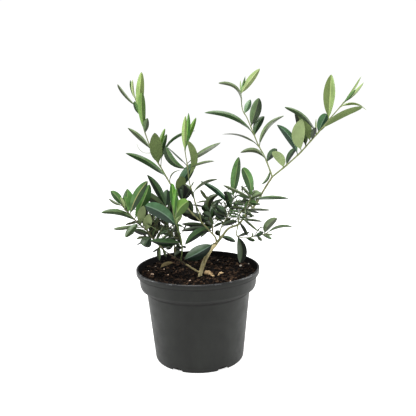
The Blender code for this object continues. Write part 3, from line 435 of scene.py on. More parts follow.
    ], pairs=5, length=(16, 24), twigs=2, first=0.3, tones="mdms", fine=14, fine_tones="dxs"),
    Shoot("inner_left_foliage", radius=(1.6, 1.0), stem=[
        (-31, -13, 147), (-31, -6, 158), (-35, 1, 170), (-39, 5, 185), (-41, 10, 201), (-44, 14, 216)
    ], posed=[
        (0.98, (-23, -6, 45), 11, "n", 3), (0.90, (-31, -10, 27), 12, "o", 2), (0.96, (3, 6, 24), 13, "x"),
        (0.57, (-9, -4, 37), 10, "k", 3), (0.72, (5, 8, 25), 9, "d"), (0.42, (-9, -3, 17), 4, "x"),
        (0.48, (-16, -6, 6), 4, "x", 1), (0.38, (-20, 8, 17), 9, "d"), (0.22, (4, -6, -14), 7, "d"),
        (0.26, (-11, 6, -9), 7, "d"), (0.16, (6, 8, -12), 9, "d"), (0.68, (11, 10, 23), 10, "d")
    ], pairs=3, length=(18, 26), twigs=1, first=0.25, tones="dmdo", fine=34, fine_tones="ddxko",
          fine_last=0.75),
]


# ---------------------------------------------------------------- lines

def place_on(line, station):
    """Point and direction at a station from 0 to 1 along a line of points."""
    steps = [(b - a).length for a, b in zip(line, line[1:])]
    left = max(0.0, min(1.0, station)) * sum(steps)
    for a, b, step in zip(line, line[1:], steps):
        if left <= step or b is line[-1]:
            return a + (b - a) * (left / step), (b - a).normalized()
        left -= step


def across(direction):
    """Two directions square to the given one: the first points to the back as far as it can."""
    back = Vector((0, 1, 0)) - direction * direction.y
    if back.length < 0.2:
        back = Vector((0, 0, 1)) - direction * direction.z
    back.normalize()
    return back, direction.cross(back)


def angles_around(sides):
    """Even angles, once around."""
    return [2 * math.pi * k / sides for k in range(sides)]


def ring(centre, direction, radius, sides):
    """Corners of a regular section square to the direction."""
    u, v = across(direction)
    return [centre + u * (radius * math.cos(a)) + v * (radius * math.sin(a)) for a in angles_around(sides)]


def limb_rings(line, radii, sides):
    """Sections of a tapered round limb, one at each place of its line."""
    rings = []
    for i, centre in enumerate(line):
        ahead = line[min(i + 1, len(line) - 1)] - line[max(i - 1, 0)]
        rings.append(ring(centre, ahead.normalized(), radii[i], sides))
    return rings


def loft(rings):
    """Vertices and faces of a closed body through sections; a section of one point is a tip."""
    verts = [corner for section in rings for corner in section]
    faces = [tuple(reversed(range(len(rings[0]))))]
    start = 0
    for low, high in zip(rings, rings[1:]):
        sides = len(low)
        top = start + sides
        for k in range(sides):
            after = (k + 1) % sides
            if len(high) == 1:
                faces.append((start + k, start + after, top))
            else:
                faces.append((start + k, start + after, top + after, top + k))
        start = top
    if len(rings[-1]) > 1:
        faces.append(tuple(range(start, start + len(rings[-1]))))
    return verts, faces


def smooth_line(places, step):
    """Points and radii about every step along a smooth curve through (point, radius) places."""
    points = []
    radii = []
    count = len(places)
    for i in range(count - 1):
        p0, p1, p2, p3 = (places[max(0, min(count - 1, i + k))] for k in (-1, 0, 1, 2))
        parts = max(1, round((p2[0] - p1[0]).length / step))
        for k in range(parts):
            t = k / parts
            weights = (-0.5 * t + t * t - 0.5 * t ** 3, 1 - 2.5 * t * t + 1.5 * t ** 3,
                       0.5 * t + 2 * t * t - 1.5 * t ** 3, -0.5 * t * t + 0.5 * t ** 3)
            points.append(sum((w * p[0] for w, p in zip(weights, (p0, p1, p2, p3))), Vector()))
            radii.append(p1[1] + (p2[1] - p1[1]) * t)
    points.append(places[-1][0].copy())
    radii.append(places[-1][1])
    return points, radii


# ---------------------------------------------------------------- the growth rule

def leaf_rings(root, reach, width, face, lift, margin=0.0, start=0.0):
    """Three-sided sections of a leaf's test body."""
    edge = face.cross(reach).normalized()
    rings = []
    stations = SMALL_LEAF_STATIONS if reach.length < SMALL_LEAF else LEAF_STATIONS
    for station, share in ((start, 0.0),) + stations:
        middle = root + reach * station + lift * (4 * station * (1 - station))
        spread = max(PETIOLE[0], width / 2 * share) + margin
        half = (LEAF_THICKNESS / 2 if share else PETIOLE[1]) + margin
        rings.append([middle + edge * spread + face * half, middle - edge * spread + face * half,
                      middle - face * half])
    rings.append([root + reach + reach.normalized() * margin])
    return rings


def leaf_faces(reach, stem_direction):
    """Front, flat and natural faces of a leaf: all are square to it."""
    along = reach.normalized()
    natural = (stem_direction - along * stem_direction.dot(along)).normalized()
    front = (Vector((0, -1, 0)) + along * along.y).normalized()
    flat = along.cross(front)
    if flat.dot(natural) < 0:
        flat.negate()
    return front, flat, natural


class Growth:
    """Plans every twig and leaf and keeps each shoot to its own space."""

    def __init__(self, shoots, limbs):
        self.leaves = {shoot.name: [] for shoot in shoots}    # (root, reach, width, face, lift, tone)
        self.twigs = {shoot.name: [] for shoot in shoots}     # (line, radii)
        self.trees = {}
        for name, limb in limbs.items():
            rings = limb_rings([Vector(place) for place, _ in limb], [radius for _, radius in limb],
                               LIMB_SOLID_SIDES)
            self.trees[name] = [self.solid(rings)]
        for shoot in shoots:
            self.trees[shoot.name] = [self.solid(stem_rings(shoot))]

    @staticmethod
    def solid(rings):
        """A body's search tree with its middle and the radius of the ball around it."""
        verts, faces = loft(rings)
        middle = sum(verts, Vector()) / len(verts)
        reach = max((corner - middle).length for corner in verts)
        return BVHTree.FromPolygons(verts, faces), middle, reach

    @staticmethod
    def touches(solid, others):
        """True where a body meets one of the others."""
        tree, middle, reach = solid
        return any((middle - other_middle).length < reach + other_reach and tree.overlap(other)
                   for other, other_middle, other_reach in others)

    def is_clear(self, rings, owner, own_rings=None):
        """True where a body touches no other shoot or limb, and no leaf of its own shoot."""
        wide = self.solid(rings)
        if any(name != owner and self.touches(wide, solids) for name, solids in self.trees.items()):
            return False
        return own_rings is None or not self.touches(self.solid(own_rings), self.trees[owner][1:])

    def add_leaf(self, owner, root, reach, width, face, lift, tone, posed=False):
        """Adds a leaf where it is clear; a posed leaf may touch others of its own shoot."""
        pose = (root, reach, width, face, lift)
        wide = leaf_rings(*pose, margin=TEST_MARGIN)
        own = None if posed else leaf_rings(*pose, margin=OWN_MARGIN, start=OWN_START)
        if reach.z + root.z < SOIL_TOP + 2 or not self.is_clear(wide, owner, own):
            return False
        self.leaves[owner].append((*pose, tone))
        self.trees[owner].append(self.solid(leaf_rings(*pose, start=LEAF_START)))
        return True

    def add_twig(self, owner, line, radii):
        """Adds a bare twig where it is clear."""
        wide = limb_rings(line, [radius + TEST_MARGIN for radius in radii], STEM_SOLID_SIDES)
        own = limb_rings([line[0].lerp(line[1], 0.5)] + line[1:], radii, STEM_SOLID_SIDES)
        if not self.is_clear(wide, owner, own):
            return False
        self.twigs[owner].append((line, radii))
        self.trees[owner].append(self.solid(limb_rings(line, radii, STEM_SOLID_SIDES)))
        return True


def stem_rings(shoot):
    """Sections of a shoot's stem from where its solid begins to its tip."""
    foot, _ = place_on(shoot.stem, STEM_START)
    length = sum((b - a).length for a, b in zip(shoot.stem, shoot.stem[1:]))
    line = [foot]
    radii = [shoot.radius[0]]
    walked = 0.0
    for a, b in zip(shoot.stem, shoot.stem[1:]):
        walked += (b - a).length
        if walked / length > STEM_START + 0.02:
            line.append(b)
            radii.append(shoot.radius[0] + (shoot.radius[1] - shoot.radius[0]) * walked / length)
    return limb_rings(line, radii, STEM_SOLID_SIDES)


def grow_pose(shoot, growth):
    """The shoot's posed leaves."""
    for station, reach, width, tone, *shape in shoot.posed:
        bow, turn = (*shape, *POSE[len(shape):])
        root, direction = place_on(shoot.stem, station)
        front, flat, _ = leaf_faces(Vector(reach), direction)
        face = flat * math.cos(math.radians(turn)) + front * math.sin(math.radians(turn))
        growth.add_leaf(shoot.name, root, Vector(reach), width, face, flat * bow, tone, posed=True)


def grow_pairs(owner, line, pairs, first, last, quarter, length, chance, growth, tones, inside=None):
    """Opposite pairs of leaves along a line, each pair turned from the one before."""
    for i in range(pairs):
        station = first + (last - first) * (i + chance.uniform(*PAIR_PLACE)) / pairs
        root, direction = place_on(line, station)
        u, v = across(direction)
        turned = math.radians(quarter * i + chance.uniform(*PAIR_TURN))
        for side in (0, 1):
            outward = u * math.cos(turned + side * math.pi) + v * math.sin(turned + side * math.pi)
            spread = math.radians(chance.uniform(*LEAF_ANGLE))
            size = chance.uniform(*length)
            reach = (direction * math.cos(spread) + outward * math.sin(spread)) * size
            reach.z -= LEAF_SAG * size
            _, _, natural = leaf_faces(reach, direction)
            face = Matrix.Rotation(math.radians(chance.uniform(*LEAF_TURN)), 3, reach) @ natural
            if inside is None or (inside(root + reach) and inside(root + reach * 0.5)):
                growth.add_leaf(owner, root, reach, size / RULE_SLIMNESS, face, natural * (LEAF_BOW * size),
                                tones[(i + side) % len(tones)])


def twig_line(root, direction, chance, form):
    """Line of a twig that leaves a stem at its root."""
    sizes, along, away, lift = form
    u, v = across(direction)
    turned = chance.uniform(0, 2 * math.pi)
    outward = u * math.cos(turned) + v * math.sin(turned)
    half = chance.uniform(*sizes) * 0.5
    middle = root + (direction * along + outward * away) * half
    tip = middle + (direction * TWIG_TIP[0] + outward * TWIG_TIP[1] + Vector((0, 0, lift))) * half
    return [root, middle, tip]


def grow_small(shoot, line, form, chance, growth, tones, inside=None):
    """Pairs of small leaves along a twig."""
    pairs, first, shares = form
    small = [shoot.length[0] * share for share in shares]
    grow_pairs(shoot.name, line, pairs, first, 1.0, 90, small, chance, growth, tones, inside)


def grow_rule(shoot, growth, chance):
    """Side twigs with small leaves, then pairs of leaves on the stem itself."""
    for i in range(shoot.twigs):
        station = shoot.first + (RULE_LAST - shoot.first) * (i + 0.35) / shoot.twigs
        root, direction = place_on(shoot.stem, station)
        for _ in range(TWIG_TRIES):
            line = twig_line(root, direction, chance, SIDE_TWIG)
            if growth.add_twig(shoot.name, line, [TWIG_RADIUS[0], TWIG_RADIUS[0], TWIG_RADIUS[1]]):
                grow_small(shoot, line, SIDE_LEAVES, chance, growth, shoot.tones)
                break
    grow_pairs(shoot.name, shoot.stem, shoot.pairs, shoot.first, RULE_LAST, shoot.quarter,
               shoot.length, chance, growth, shoot.tones)


def grow_fine(shoot, growth, chance, inside):
    """Thin twigs with small leaves, carried on by the same rule inside the shoot's own reach."""
    lines = [shoot.stem] + [line for line, _ in growth.twigs[shoot.name]]
    radii = [FINE_TWIG_RADIUS * 1.3, FINE_TWIG_RADIUS, FINE_TWIG_RADIUS * 0.8]
    for i in range(shoot.fine):
        place = chance.uniform(shoot.first, shoot.fine_last)
        line = twig_line(*place_on(lines[i % len(lines)], place), chance, FINE_TWIG)
        if inside(line[-1]) and growth.add_twig(shoot.name, line, radii):
            grow_small(shoot, line, FINE_LEAVES, chance, growth, shoot.fine_tones, inside)


def reach_of(node):
    """Test of whether a point lies in the convex hull of a solid of the frame."""
    bm = bmesh.new()
    bm.from_mesh(frame["nodes"][node].data)
    hull = bmesh.ops.convex_hull(bm, input=bm.verts)
    planes = [(face.normal.copy(), face.verts[0].co / MM) for face in hull["geom"]
              if isinstance(face, bmesh.types.BMFace)]
    middle = sum((vert.co for vert in bm.verts), Vector()) / len(bm.verts) / MM
    bm.free()
    outward = [(normal if (place - middle).dot(normal) > 0 else -normal, place) for normal, place in planes]
    return lambda point: all((point - place).dot(normal) < 0.5 for normal, place in outward)


def plan_growth(shoots, limbs):
    """All the posed leaves, then the rule's twigs and leaves, then the finer ones."""
    growth = Growth(shoots, limbs)
    for shoot in shoots:
        grow_pose(shoot, growth)
    for number, shoot in enumerate(shoots):
        grow_rule(shoot, growth, random.Random(number))
    for number, shoot in enumerate(shoots):
        grow_fine(shoot, growth, random.Random(100 + number), reach_of(shoot.name))
    return growth


# ---------------------------------------------------------------- materials

def linear(colour):
    """Colour from the 0 to 255 values of a screen to the values that light adds up in."""
    return tuple(((c / 255 + 0.055) / 1.055) ** 2.4 if c > 10 else c / 255 / 12.92 for c in colour) + (1.0,)


def new_object(name, data):
    """Object with the data, in the scene."""
    made = bpy.data.objects.new(name, data)
    bpy.context.scene.collection.objects.link(made)
    return made


def set_inputs(node, values):
    """Sets inputs of a node by their names."""
    for name, value in values.items():
        node.inputs[name].default_value = value


def new_material(name, roughness, specular):
    """Material with its shader."""
    material = bpy.data.materials.new(name)
    material.use_nodes = True
    shader = material.node_tree.nodes["Principled BSDF"]
    set_inputs(shader, {"Roughness": roughness, "Specular IOR Level": specular})
    return material, shader


def add_noise(material, scale, detail=3.0, roughness=0.6, stretch=None):
    """Noise over the piece's own coordinates, in features per metre."""
    nodes, links = material.node_tree.nodes, material.node_tree.links
    coordinates = nodes.new("ShaderNodeTexCoord")
    texture = nodes.new("ShaderNodeTexNoise")
    set_inputs(texture, {"Scale": scale, "Detail": detail, "Roughness": roughness})
    source = coordinates.outputs["Object"]
    if stretch:
        mapping = nodes.new("ShaderNodeMapping")
        set_inputs(mapping, {"Scale": stretch})
        links.new(source, mapping.inputs["Vector"])
        source = mapping.outputs["Vector"]
    links.new(source, texture.inputs["Vector"])
    return texture.outputs["Fac"]


def add_ramp(material, factor, stops, socket):
    """Drives a socket through a colour ramp with (position, colour) stops."""
    ramp = material.node_tree.nodes.new("ShaderNodeValToRGB")
    elements = ramp.color_ramp.elements
    while len(elements) < len(stops):
        elements.new(0.5)
    for element, (position, colour) in zip(elements, stops):
        element.position = position
        element.color = colour
    material.node_tree.links.new(factor, ramp.inputs["Fac"])
    material.node_tree.links.new(ramp.outputs["Color"], socket)


def add_bump(material, shader, height, strength, distance):
    """Gives the surface a relief."""
    bump = material.node_tree.nodes.new("ShaderNodeBump")
    set_inputs(bump, {"Strength": strength, "Distance": distance})
    material.node_tree.links.new(height, bump.inputs["Height"])
    material.node_tree.links.new(bump.outputs["Normal"], shader.inputs["Normal"])


def mottled(name, colour, spread, scale, roughness, specular, bump=0.0):
    """Material of one colour that varies a little from place to place."""
    material, shader = new_material(name, roughness, specular)
    base = linear(colour)
    low = tuple(c * (1 - spread) for c in base[:3]) + (1.0,)
    high = tuple(min(1.0, c * (1 + spread)) for c in base[:3]) + (1.0,)
    add_ramp(material, add_noise(material, scale), [(0.3, low), (0.7, high)], shader.inputs["Base Color"])
    if bump:
        add_bump(material, shader, add_noise(material, scale * 8), bump, 0.0003)
    return material


def leaf_materials():
    """For each tone its upper side toward the sky with painted sheen, midrib, underside and upper side away
    from it with painted shade.
    """
    found = {}
    for tone, (top, rib, under) in TONES.items():
        # painted light: a copy with painted sheen for the half toward the sky, a darker copy with painted
        # shade for the other half
        bright = tuple(c + (sky - c) * PAINTED_SHEEN_SHARE for c, sky in zip(top, PAINTED_SHEEN_COLOUR))
        painted_shade_half = tuple(c * PAINTED_SHADE_SHARE for c in top)
        spread = LEAF_SPREAD[0] if tone in PALE else LEAF_SPREAD[1]
        found[tone] = [mottled(f"leaf_{tone}_bright", bright, spread, LEAF_PATCHES, 0.34, 0.36, 0.12),
                       mottled(f"leaf_{tone}_rib", rib, 0.12, 60, 0.5, 0.3),
                       mottled(f"leaf_{tone}_under", under, 0.16, 60, 0.7, 0.15, 0.1),
                       mottled(f"leaf_{tone}_shaded", painted_shade_half, spread, LEAF_PATCHES, 0.34, 0.32, 0.12)]
    return found


# ---------------------------------------------------------------- pieces

class Body:
    """Vertices, faces and the material of each face, gathered for one piece."""

    def __init__(self):
        self.verts = []
        self.faces = []
        self.kinds = []
        self.materials = []

    def add(self, verts, faces, materials):
        """Adds a closed body; materials holds one material, or one for each face."""
        start = len(self.verts)
        self.verts.extend(verts)
        if isinstance(materials, bpy.types.Material):
            materials = [materials] * len(faces)
        for face, material in zip(faces, materials):
            if material not in self.materials:
                self.materials.append(material)
            self.faces.append(tuple(start + k for k in face))
            self.kinds.append(self.materials.index(material))

    def make(self, name, slot, *nodes, sharp=50):
        """The piece itself: it rides on the root and stands for the nodes of the frame."""
        mesh = bpy.data.meshes.new(name)
        mesh.from_pydata([point * MM for point in self.verts], [], self.faces)
        for material in self.materials:
            mesh.materials.append(material)
        mesh.polygons.foreach_set("material_index", self.kinds)
        mesh.shade_smooth()
        if sharp:
            mesh.set_sharp_from_angle(angle=math.radians(sharp))
        piece = new_object(name, mesh)
        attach(piece, "root")
        if nodes:
            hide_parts(*nodes)


def tube(points, radii, sides, relief=None):
    """Round limb along a line; relief gives each corner's share of the radius from place and angle."""
    direction = (points[1] - points[0]).normalized()
    u, _ = across(direction)
    rings = []
    for i, centre in enumerate(points):
        ahead = (points[min(i + 1, len(points) - 1)] - points[max(i - 1, 0)]).normalized()
        u = (u - ahead * u.dot(ahead)).normalized()
        v = ahead.cross(u)
        section = []
        for angle in angles_around(sides):
            out = u * math.cos(angle) + v * math.sin(angle)
            share = relief(centre + out * radii[i], angle, i) if relief else 1.0
            section.append(centre + out * (radii[i] * share))
        rings.append(section)
    return loft(rings)


def nearest_on(line, point):
    """The place on a fine line that is nearest to a point."""
    return min(line, key=lambda place: (place - point).length_squared)


def blade(root, reach, width, face, lift, chance):
    """Vertices, faces and kinds of one olive leaf.

    The kinds are 0 the half of the upper side toward the sky, with painted sheen, 1 midrib, 2 underside, 3
    the other half, with painted shade.
    """
    stations = SMALL_BLADE_STATIONS if reach.length < SMALL_LEAF else BLADE_STATIONS
    rise = chance.uniform(*BLADE_RISE)
    fall = chance.uniform(*BLADE_FALL)
    peak = (rise / (rise + fall)) ** rise * (fall / (rise + fall)) ** fall
    fold = chance.uniform(*BLADE_FOLD)
    roll = chance.uniform(*BLADE_ROLL)
    twist = math.radians(chance.uniform(*BLADE_TWIST))
    wave = chance.uniform(0, 2 * math.pi)
    droop = chance.uniform(*BLADE_DROOP) * reach.length
    verts = []
    for s in stations:
        middle = root + reach * s + lift * (4 * s * (1 - s)) + face * (droop * (4 * s * (1 - s)))
        along = (reach + lift * (4 - 8 * s) + face * (droop * (4 - 8 * s))).normalized()
        turned = Matrix.Rotation(twist * (s - TWIST_CENTRE), 3, along) @ face
        up = (turned - along * turned.dot(along)).normalized()
        edge = up.cross(along)
        t = max(0.0, (s - STALK_SHARE) / (1 - STALK_SHARE))
        half = max(width / 2 * (t ** rise * (1 - t) ** fall / peak if t > 0 else 0), LEAST_HALF)
        stalk = STALK_RADIUS * (1 - STALK_TAPER * s) if s < STALK_END else 0.0
        half = max(half, stalk)
        open_share = min(1.0, t * BLADE_OPENS)
        thick = max(BLADE_THICKNESS * (1 - BLADE_TAPER * s), stalk * STALK_DEPTH * (1 - open_share))
        ripple = RIPPLE * math.sin(RIPPLES * s + wave)
        for places, depth, rib in ((BLADE_ACROSS, 0.0, RIB_SINK * open_share),
                                   (BLADE_ACROSS[1:-1], thick, RIB_KEEL * (1 - BLADE_TAPER * s))):
            for x in places:
                height = half * open_share * (fold * abs(x) - roll * x ** 4 + ripple * x) - depth
                if abs(x) <= RIB_SHARE:
                    height -= rib
                verts.append(middle + edge * (x * half) + up * height)
    faces = []
    kinds = []
    top = list(range(6))
    bottom = [0, 6, 7, 8, 9, 5]
    # painted light: the half whose edge rises takes the painted sheen, the other half the painted shade
    first, second = (3, 0) if face.cross(reach).z > 0 else (0, 3)
    for k in range(len(stations) - 1):
        low, high = 10 * k, 10 * (k + 1)
        for j in range(5):
            faces.append((low + top[j], high + top[j], high + top[j + 1], low + top[j + 1]))
            kinds.append(1 if j == 2 else first if j < 2 else second)
            faces.append((low + bottom[j], low + bottom[j + 1], high + bottom[j + 1], high + bottom[j]))
            kinds.append(2)
    last = 10 * (len(stations) - 1)
    faces.append(tuple(top + [9, 8, 7, 6]))
    faces.append(tuple(last + k for k in reversed(top + [9, 8, 7, 6])))
    kinds.extend((2, 2))
    return verts, faces, kinds


def make_shoot(shoot, growth, greens, woods):
    """The shoot's stem and twigs as one piece, and its leaves as another."""
    radii = [STEM_SHARE * (shoot.radius[0] + (shoot.radius[1] - shoot.radius[0]) * i / (len(shoot.stem) - 1))
             for i in range(len(shoot.stem))]
    stem, stem_radii = smooth_line(list(zip(shoot.stem, radii)), STEM_STEP)
    lines = [(stem, stem_radii)]
    for line, radii in growth.twigs[shoot.name]:
        share = STEM_SHARE if radii[0] == TWIG_RADIUS[0] else 1.0
        places = [(nearest_on(stem, line[0]), radii[0] * share)]
        places += [(point, radius * share) for point, radius in zip(line[1:], radii[1:])]
        lines.append(smooth_line(places, STEM_STEP))
    nodes_at = [leaf[0] for leaf in growth.leaves[shoot.name]]
    wood = Body()
    for points, sizes in lines:
        swollen = []
        for point, size in zip(points, sizes):
            near = min(((point - place).length for place in nodes_at), default=99.0)
            swollen.append(size * (1 + NODE_SWELLING * math.exp(-(near / NODE_REACH) ** 2)))
        swollen[-1] *= TWIG_TIP_SHARE
        wood.add(*tube(points, swollen, STEM_SIDES if points is stem else TWIG_SIDES),
                 woods[shoot.wood if points is stem else "fine"])
    wood.make(shoot.name.replace("foliage", "twigs"), "bark", shoot.name)

    every = [point for points, _ in lines for point in points]
    leaves = Body()
    for number, (root, reach, width, face, lift, tone) in enumerate(growth.leaves[shoot.name]):
        foot = nearest_on(every, root)
        chance = random.Random(f"{shoot.name} {number}")
        if tone == CURL:
            width *= CURL_SHARE
        verts, faces, kinds = blade(foot, root + reach - foot, width, face, lift, chance)
        leaves.add(verts, faces, [greens[tone][kind] for kind in kinds])
    leaves.make(shoot.name.replace("foliage", "leaves"), "olive_leaf", shoot.name)


# ---------------------------------------------------------------- bark

def bark_material(name):
    """Bark with darker streaks along the limb."""
    material, shader = new_material(f"bark_{name}", 0.85, 0.2)
    streaks = add_noise(material, 320, 4, 0.7, (1.0, 1.0, 0.25))
    stops = list(zip((0.26, 0.46, 0.72), map(linear, BARKS[name])))
    add_ramp(material, streaks, stops, shader.inputs["Base Color"])
    add_bump(material, shader, add_noise(material, 900, 3, 0.7, (1.0, 1.0, 0.3)), 0.5, 0.0005)
    return material


def make_limb(name, limb, material, outer=None):
    """Trunk or bough with the bark's ridges along it, its fissures and its swellings.

    outer is the material past the first TAN_SHARE of the limb's faces, where it differs: grey bark that is
    painted shade on the low left bough.
    """
    points, radii = smooth_line([(Vector(place), radius) for place, radius in limb], LIMB_STEP)

    def relief(place, angle, i):
        ridges = noise.noise(Vector((3.2 * math.cos(angle), 3.2 * math.sin(angle), i * 0.035)))
        knots = noise.noise(place * 0.16)
        cracks = noise.noise(Vector((6 * math.cos(angle), 6 * math.sin(angle), i * 0.12))) - 0.15
        share = 1 + RIDGES * ridges + KNOTS * knots - CRACKS * max(0.0, cracks)
        if limb is TRUNK:
            above = max(0.0, place.z - SOIL_TOP)
            share *= (1 + FLARE_LOBES * math.cos(3 * angle + 0.7) * math.exp(-above / FLARE_FADE)
                      - FOOT_WAIST * math.exp(-above / WAIST_FADE))
        return share

    body = Body()
    slim = SLIM_SHARE if outer else LIMB_SHARE
    verts, faces = tube(points, [radius * slim for radius in radii], LIMB_SIDES, relief)
    first = int(len(faces) * TAN_SHARE) if outer else len(faces)
    body.add(verts, faces, [material if k < first else outer for k in range(len(faces))])
    body.make(name.replace("trunk", "trunk_bark").replace("bough", "bark"), "bark", name)


# ---------------------------------------------------------------- pot

def arc(centre, radius, start, end, steps):
    """Points of an arc in the profile plane, with angles in degrees from the outward direction."""
    points = []
    for i in range(steps + 1):
        angle = math.radians(start + (end - start) * i / steps)
        points.append((centre[0] + radius * math.cos(angle), centre[1] + radius * math.sin(angle)))
    return points


def rounded(points, radius, steps=3):
    """Profile with each inner corner cut round."""
    result = [points[0]]
    for before, corner, after in zip(points, points[1:], points[2:]):
        corner, before, after = Vector(corner), Vector(before), Vector(after)
        reach = min(radius, (before - corner).length * 0.45, (after - corner).length * 0.45)
        low = corner + (before - corner).normalized() * reach
        high = corner + (after - corner).normalized() * reach
        for k in range(steps + 1):
            t = k / steps
            result.append(tuple(low * (1 - t) ** 2 + corner * (2 * t * (1 - t)) + high * t * t))
    result.append(points[-1])
    return result


def pot_profile():
    """Closed section of the pot: up its inside, over the rolled lip and down its outside."""
    inside = [(0, FLOOR_TOP), (BODY_FOOT - WALL, FLOOR_TOP), (BODY_TOP - WALL, BODY_TOP_HEIGHT),
              (BODY_TOP - WALL + 1.5, BODY_TOP_HEIGHT + 2.5), (COLLAR_FOOT - WALL - 1.0, COLLAR_BASE - 0.5),
              (COLLAR_FOOT - WALL, COLLAR_BASE + 2), (COLLAR_TOP - WALL, POT_HEIGHT - LIP_DEPTH),
              (POT_RADIUS - 2 * LIP_ROUND, POT_HEIGHT - LIP_ROUND - 0.4)]
    outside = [(POT_RADIUS, POT_HEIGHT - 0.7 * LIP_DEPTH), (POT_RADIUS - 0.9, POT_HEIGHT - 0.92 * LIP_DEPTH),
               (COLLAR_TOP, POT_HEIGHT - LIP_DEPTH), (COLLAR_FOOT, COLLAR_BASE),
               (COLLAR_FOOT - 1.2, COLLAR_BASE - 3.0), (BODY_TOP + 4.0, BODY_TOP_HEIGHT + 2.6),
               (BODY_TOP + 1.2, BODY_TOP_HEIGHT + 0.9), (BODY_TOP, BODY_TOP_HEIGHT - 1.5),
               (BODY_FOOT, 1.6), (BODY_FOOT - 1.0, 0)]
    underside = [(BODY_FOOT - FOOT_WIDTH, 0), (BODY_FOOT - FOOT_WIDTH - 0.6, RECESS),
                 (CENTRE_FOOT + 1.0, RECESS), (CENTRE_FOOT, 0), (0, 0)]
    lip = arc((POT_RADIUS - LIP_ROUND, POT_HEIGHT - LIP_ROUND), LIP_ROUND, 150, 0, 12)
    return rounded(inside, 0.8) + lip + rounded(outside + underside, EDGE_ROUND)


def pot_material():
    """Dark recycled plastic: a satin skin with faint flow marks."""
    material, shader = new_material("pot_black", 0.5, 0.22)
    flow = add_noise(material, 26, 4, 0.6, (1.0, 1.0, 0.35))
    stops = [(0.3, linear((28, 29, 27))), (0.7, linear((36, 38, 35)))]
    add_ramp(material, flow, stops, shader.inputs["Base Color"])
    stops = [(0.3, (0.42, 0.42, 0.42, 1)), (0.7, (0.56, 0.56, 0.56, 1))]
    add_ramp(material, add_noise(material, 70, 4), stops, shader.inputs["Roughness"])
    add_bump(material, shader, add_noise(material, 420, 3), 0.12, 0.0004)
    return material


def lip_material():
    """The lip's plastic: smoother, with pale streaks along it that are painted highlights."""
    material, shader = new_material("pot_lip", 0.28, 0.4)
    # painted highlight: pale streaks along the lip
    painted_highlight_streaks = add_noise(material, 380, 4, 0.7, (0.2, 0.7, 1.0))
    stops = [(0.58, linear((34, 35, 36))), (0.68, linear((140, 142, 144)))]
    add_ramp(material, painted_highlight_streaks, stops, shader.inputs["Base Color"])
    return material


def add_notch_cutters(holder):
    """The tools that cut the drain notches through the foot."""
    for number in range(NOTCHES):
        angle = math.radians(360 * (number + 0.5) / NOTCHES - 90)
        middle = BODY_FOOT - 2
        bpy.ops.mesh.primitive_cylinder_add(
            vertices=NOTCH_SIDES, radius=NOTCH_WIDTH / 2 * MM, depth=NOTCH_REACH * MM,
            location=(middle * math.cos(angle) * MM, middle * math.sin(angle) * MM, 0),
            rotation=(math.pi / 2, 0, angle + math.pi / 2))
        cutter = bpy.context.object
        cutter.scale = (1, NOTCH_HEIGHT / (NOTCH_WIDTH / 2), 1)
        for before in list(cutter.users_collection):
            before.objects.unlink(cutter)
        holder.objects.link(cutter)


def make_pot():
    """The pot turned finely, with its drain notches cut."""
    profile = pot_profile()
    mesh = bpy.data.meshes.new("nursery_pot")
    mesh.from_pydata([(radius * MM, 0, height * MM) for radius, height in profile],
                     [(i, i + 1) for i in range(len(profile) - 1)], [])
    pot = new_object("nursery_pot", mesh)
    screw = pot.modifiers.new("Turn", "SCREW")
    screw.axis = "Z"
    screw.steps = screw.render_steps = POT_STEPS
    screw.use_merge_vertices = True
    screw.merge_threshold = 0.00002
    cutters = bpy.data.collections.new("notch_cutters")
    bpy.context.scene.collection.children.link(cutters)
    add_notch_cutters(cutters)
    cut = pot.modifiers.new("Notches", "BOOLEAN")
    cut.operation = "DIFFERENCE"
    cut.operand_type = "COLLECTION"
    cut.collection = cutters
    cut.solver = "EXACT"
    evaluated = pot.evaluated_get(bpy.context.evaluated_depsgraph_get())
    pot.data = bpy.data.meshes.new_from_object(evaluated)
    pot.modifiers.clear()
    for cutter in list(cutters.objects):
        bpy.data.objects.remove(cutter)
    bpy.data.collections.remove(cutters)

    pot.data.materials.clear()
    # the inside is darker than the outer plastic: painted shade in the pot's recess
    for material in (pot_material(), mottled("pot_inside", (15, 14, 14), 0.35, 90, 0.9, 0.08, 0.2),
                     lip_material(), mottled("pot_fold", (33, 33, 32), 0.2, 90, 0.7, 0.16, 0.1)):
        pot.data.materials.append(material)
    for face in pot.data.polygons:
        middle = face.center / MM
        radius = math.hypot(middle.x, middle.y)
        inward = face.normal.dot(Vector((middle.x, middle.y, 0))) < 0
        if inward and FLOOR_TOP - 1 < middle.z < POT_HEIGHT - 0.5 and radius > CENTRE_FOOT:
            face.material_index = 1
        elif middle.z > POT_HEIGHT - 1.4 * LIP_ROUND:
            face.material_index = 2
        elif radius > BODY_FOOT and (BODY_TOP_HEIGHT - 1.8 < middle.z < COLLAR_BASE - 2
                                     or -0.5 < middle.z - COLLAR_LEDGE < 0.35 * LIP_DEPTH):
            face.material_index = 3
    pot.data.shade_smooth()
    pot.data.set_sharp_from_angle(angle=math.radians(40))
    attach(pot, "root")
    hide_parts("pot")


# ---------------------------------------------------------------- peat

def soil_height(x, y):
    """Height of the peat at a place, with its lumps and hollows."""
    place = Vector((x, y, 0))
    radius = place.length
    rise = SOIL_EDGE_RISE * max(0.0, (radius - SOIL_FLAT) / (SOIL_EDGE - SOIL_FLAT)) ** 1.3
    coarse = noise.noise(place * 0.045)
    middle = noise.noise(place * 0.13 + Vector((9, 4, 2)))
    fine = noise.noise(place * 0.42 + Vector((1, 7, 5)))
    grit = noise.noise(place * 1.1 + Vector((3, 2, 8)))
    near_wall = max(0.0, min(1.0, (SOIL_EDGE - radius) / 6))
    return SOIL_TOP + rise + near_wall * (1.1 * coarse + 0.9 * middle) + 0.75 * fine + 0.4 * grit - 0.6


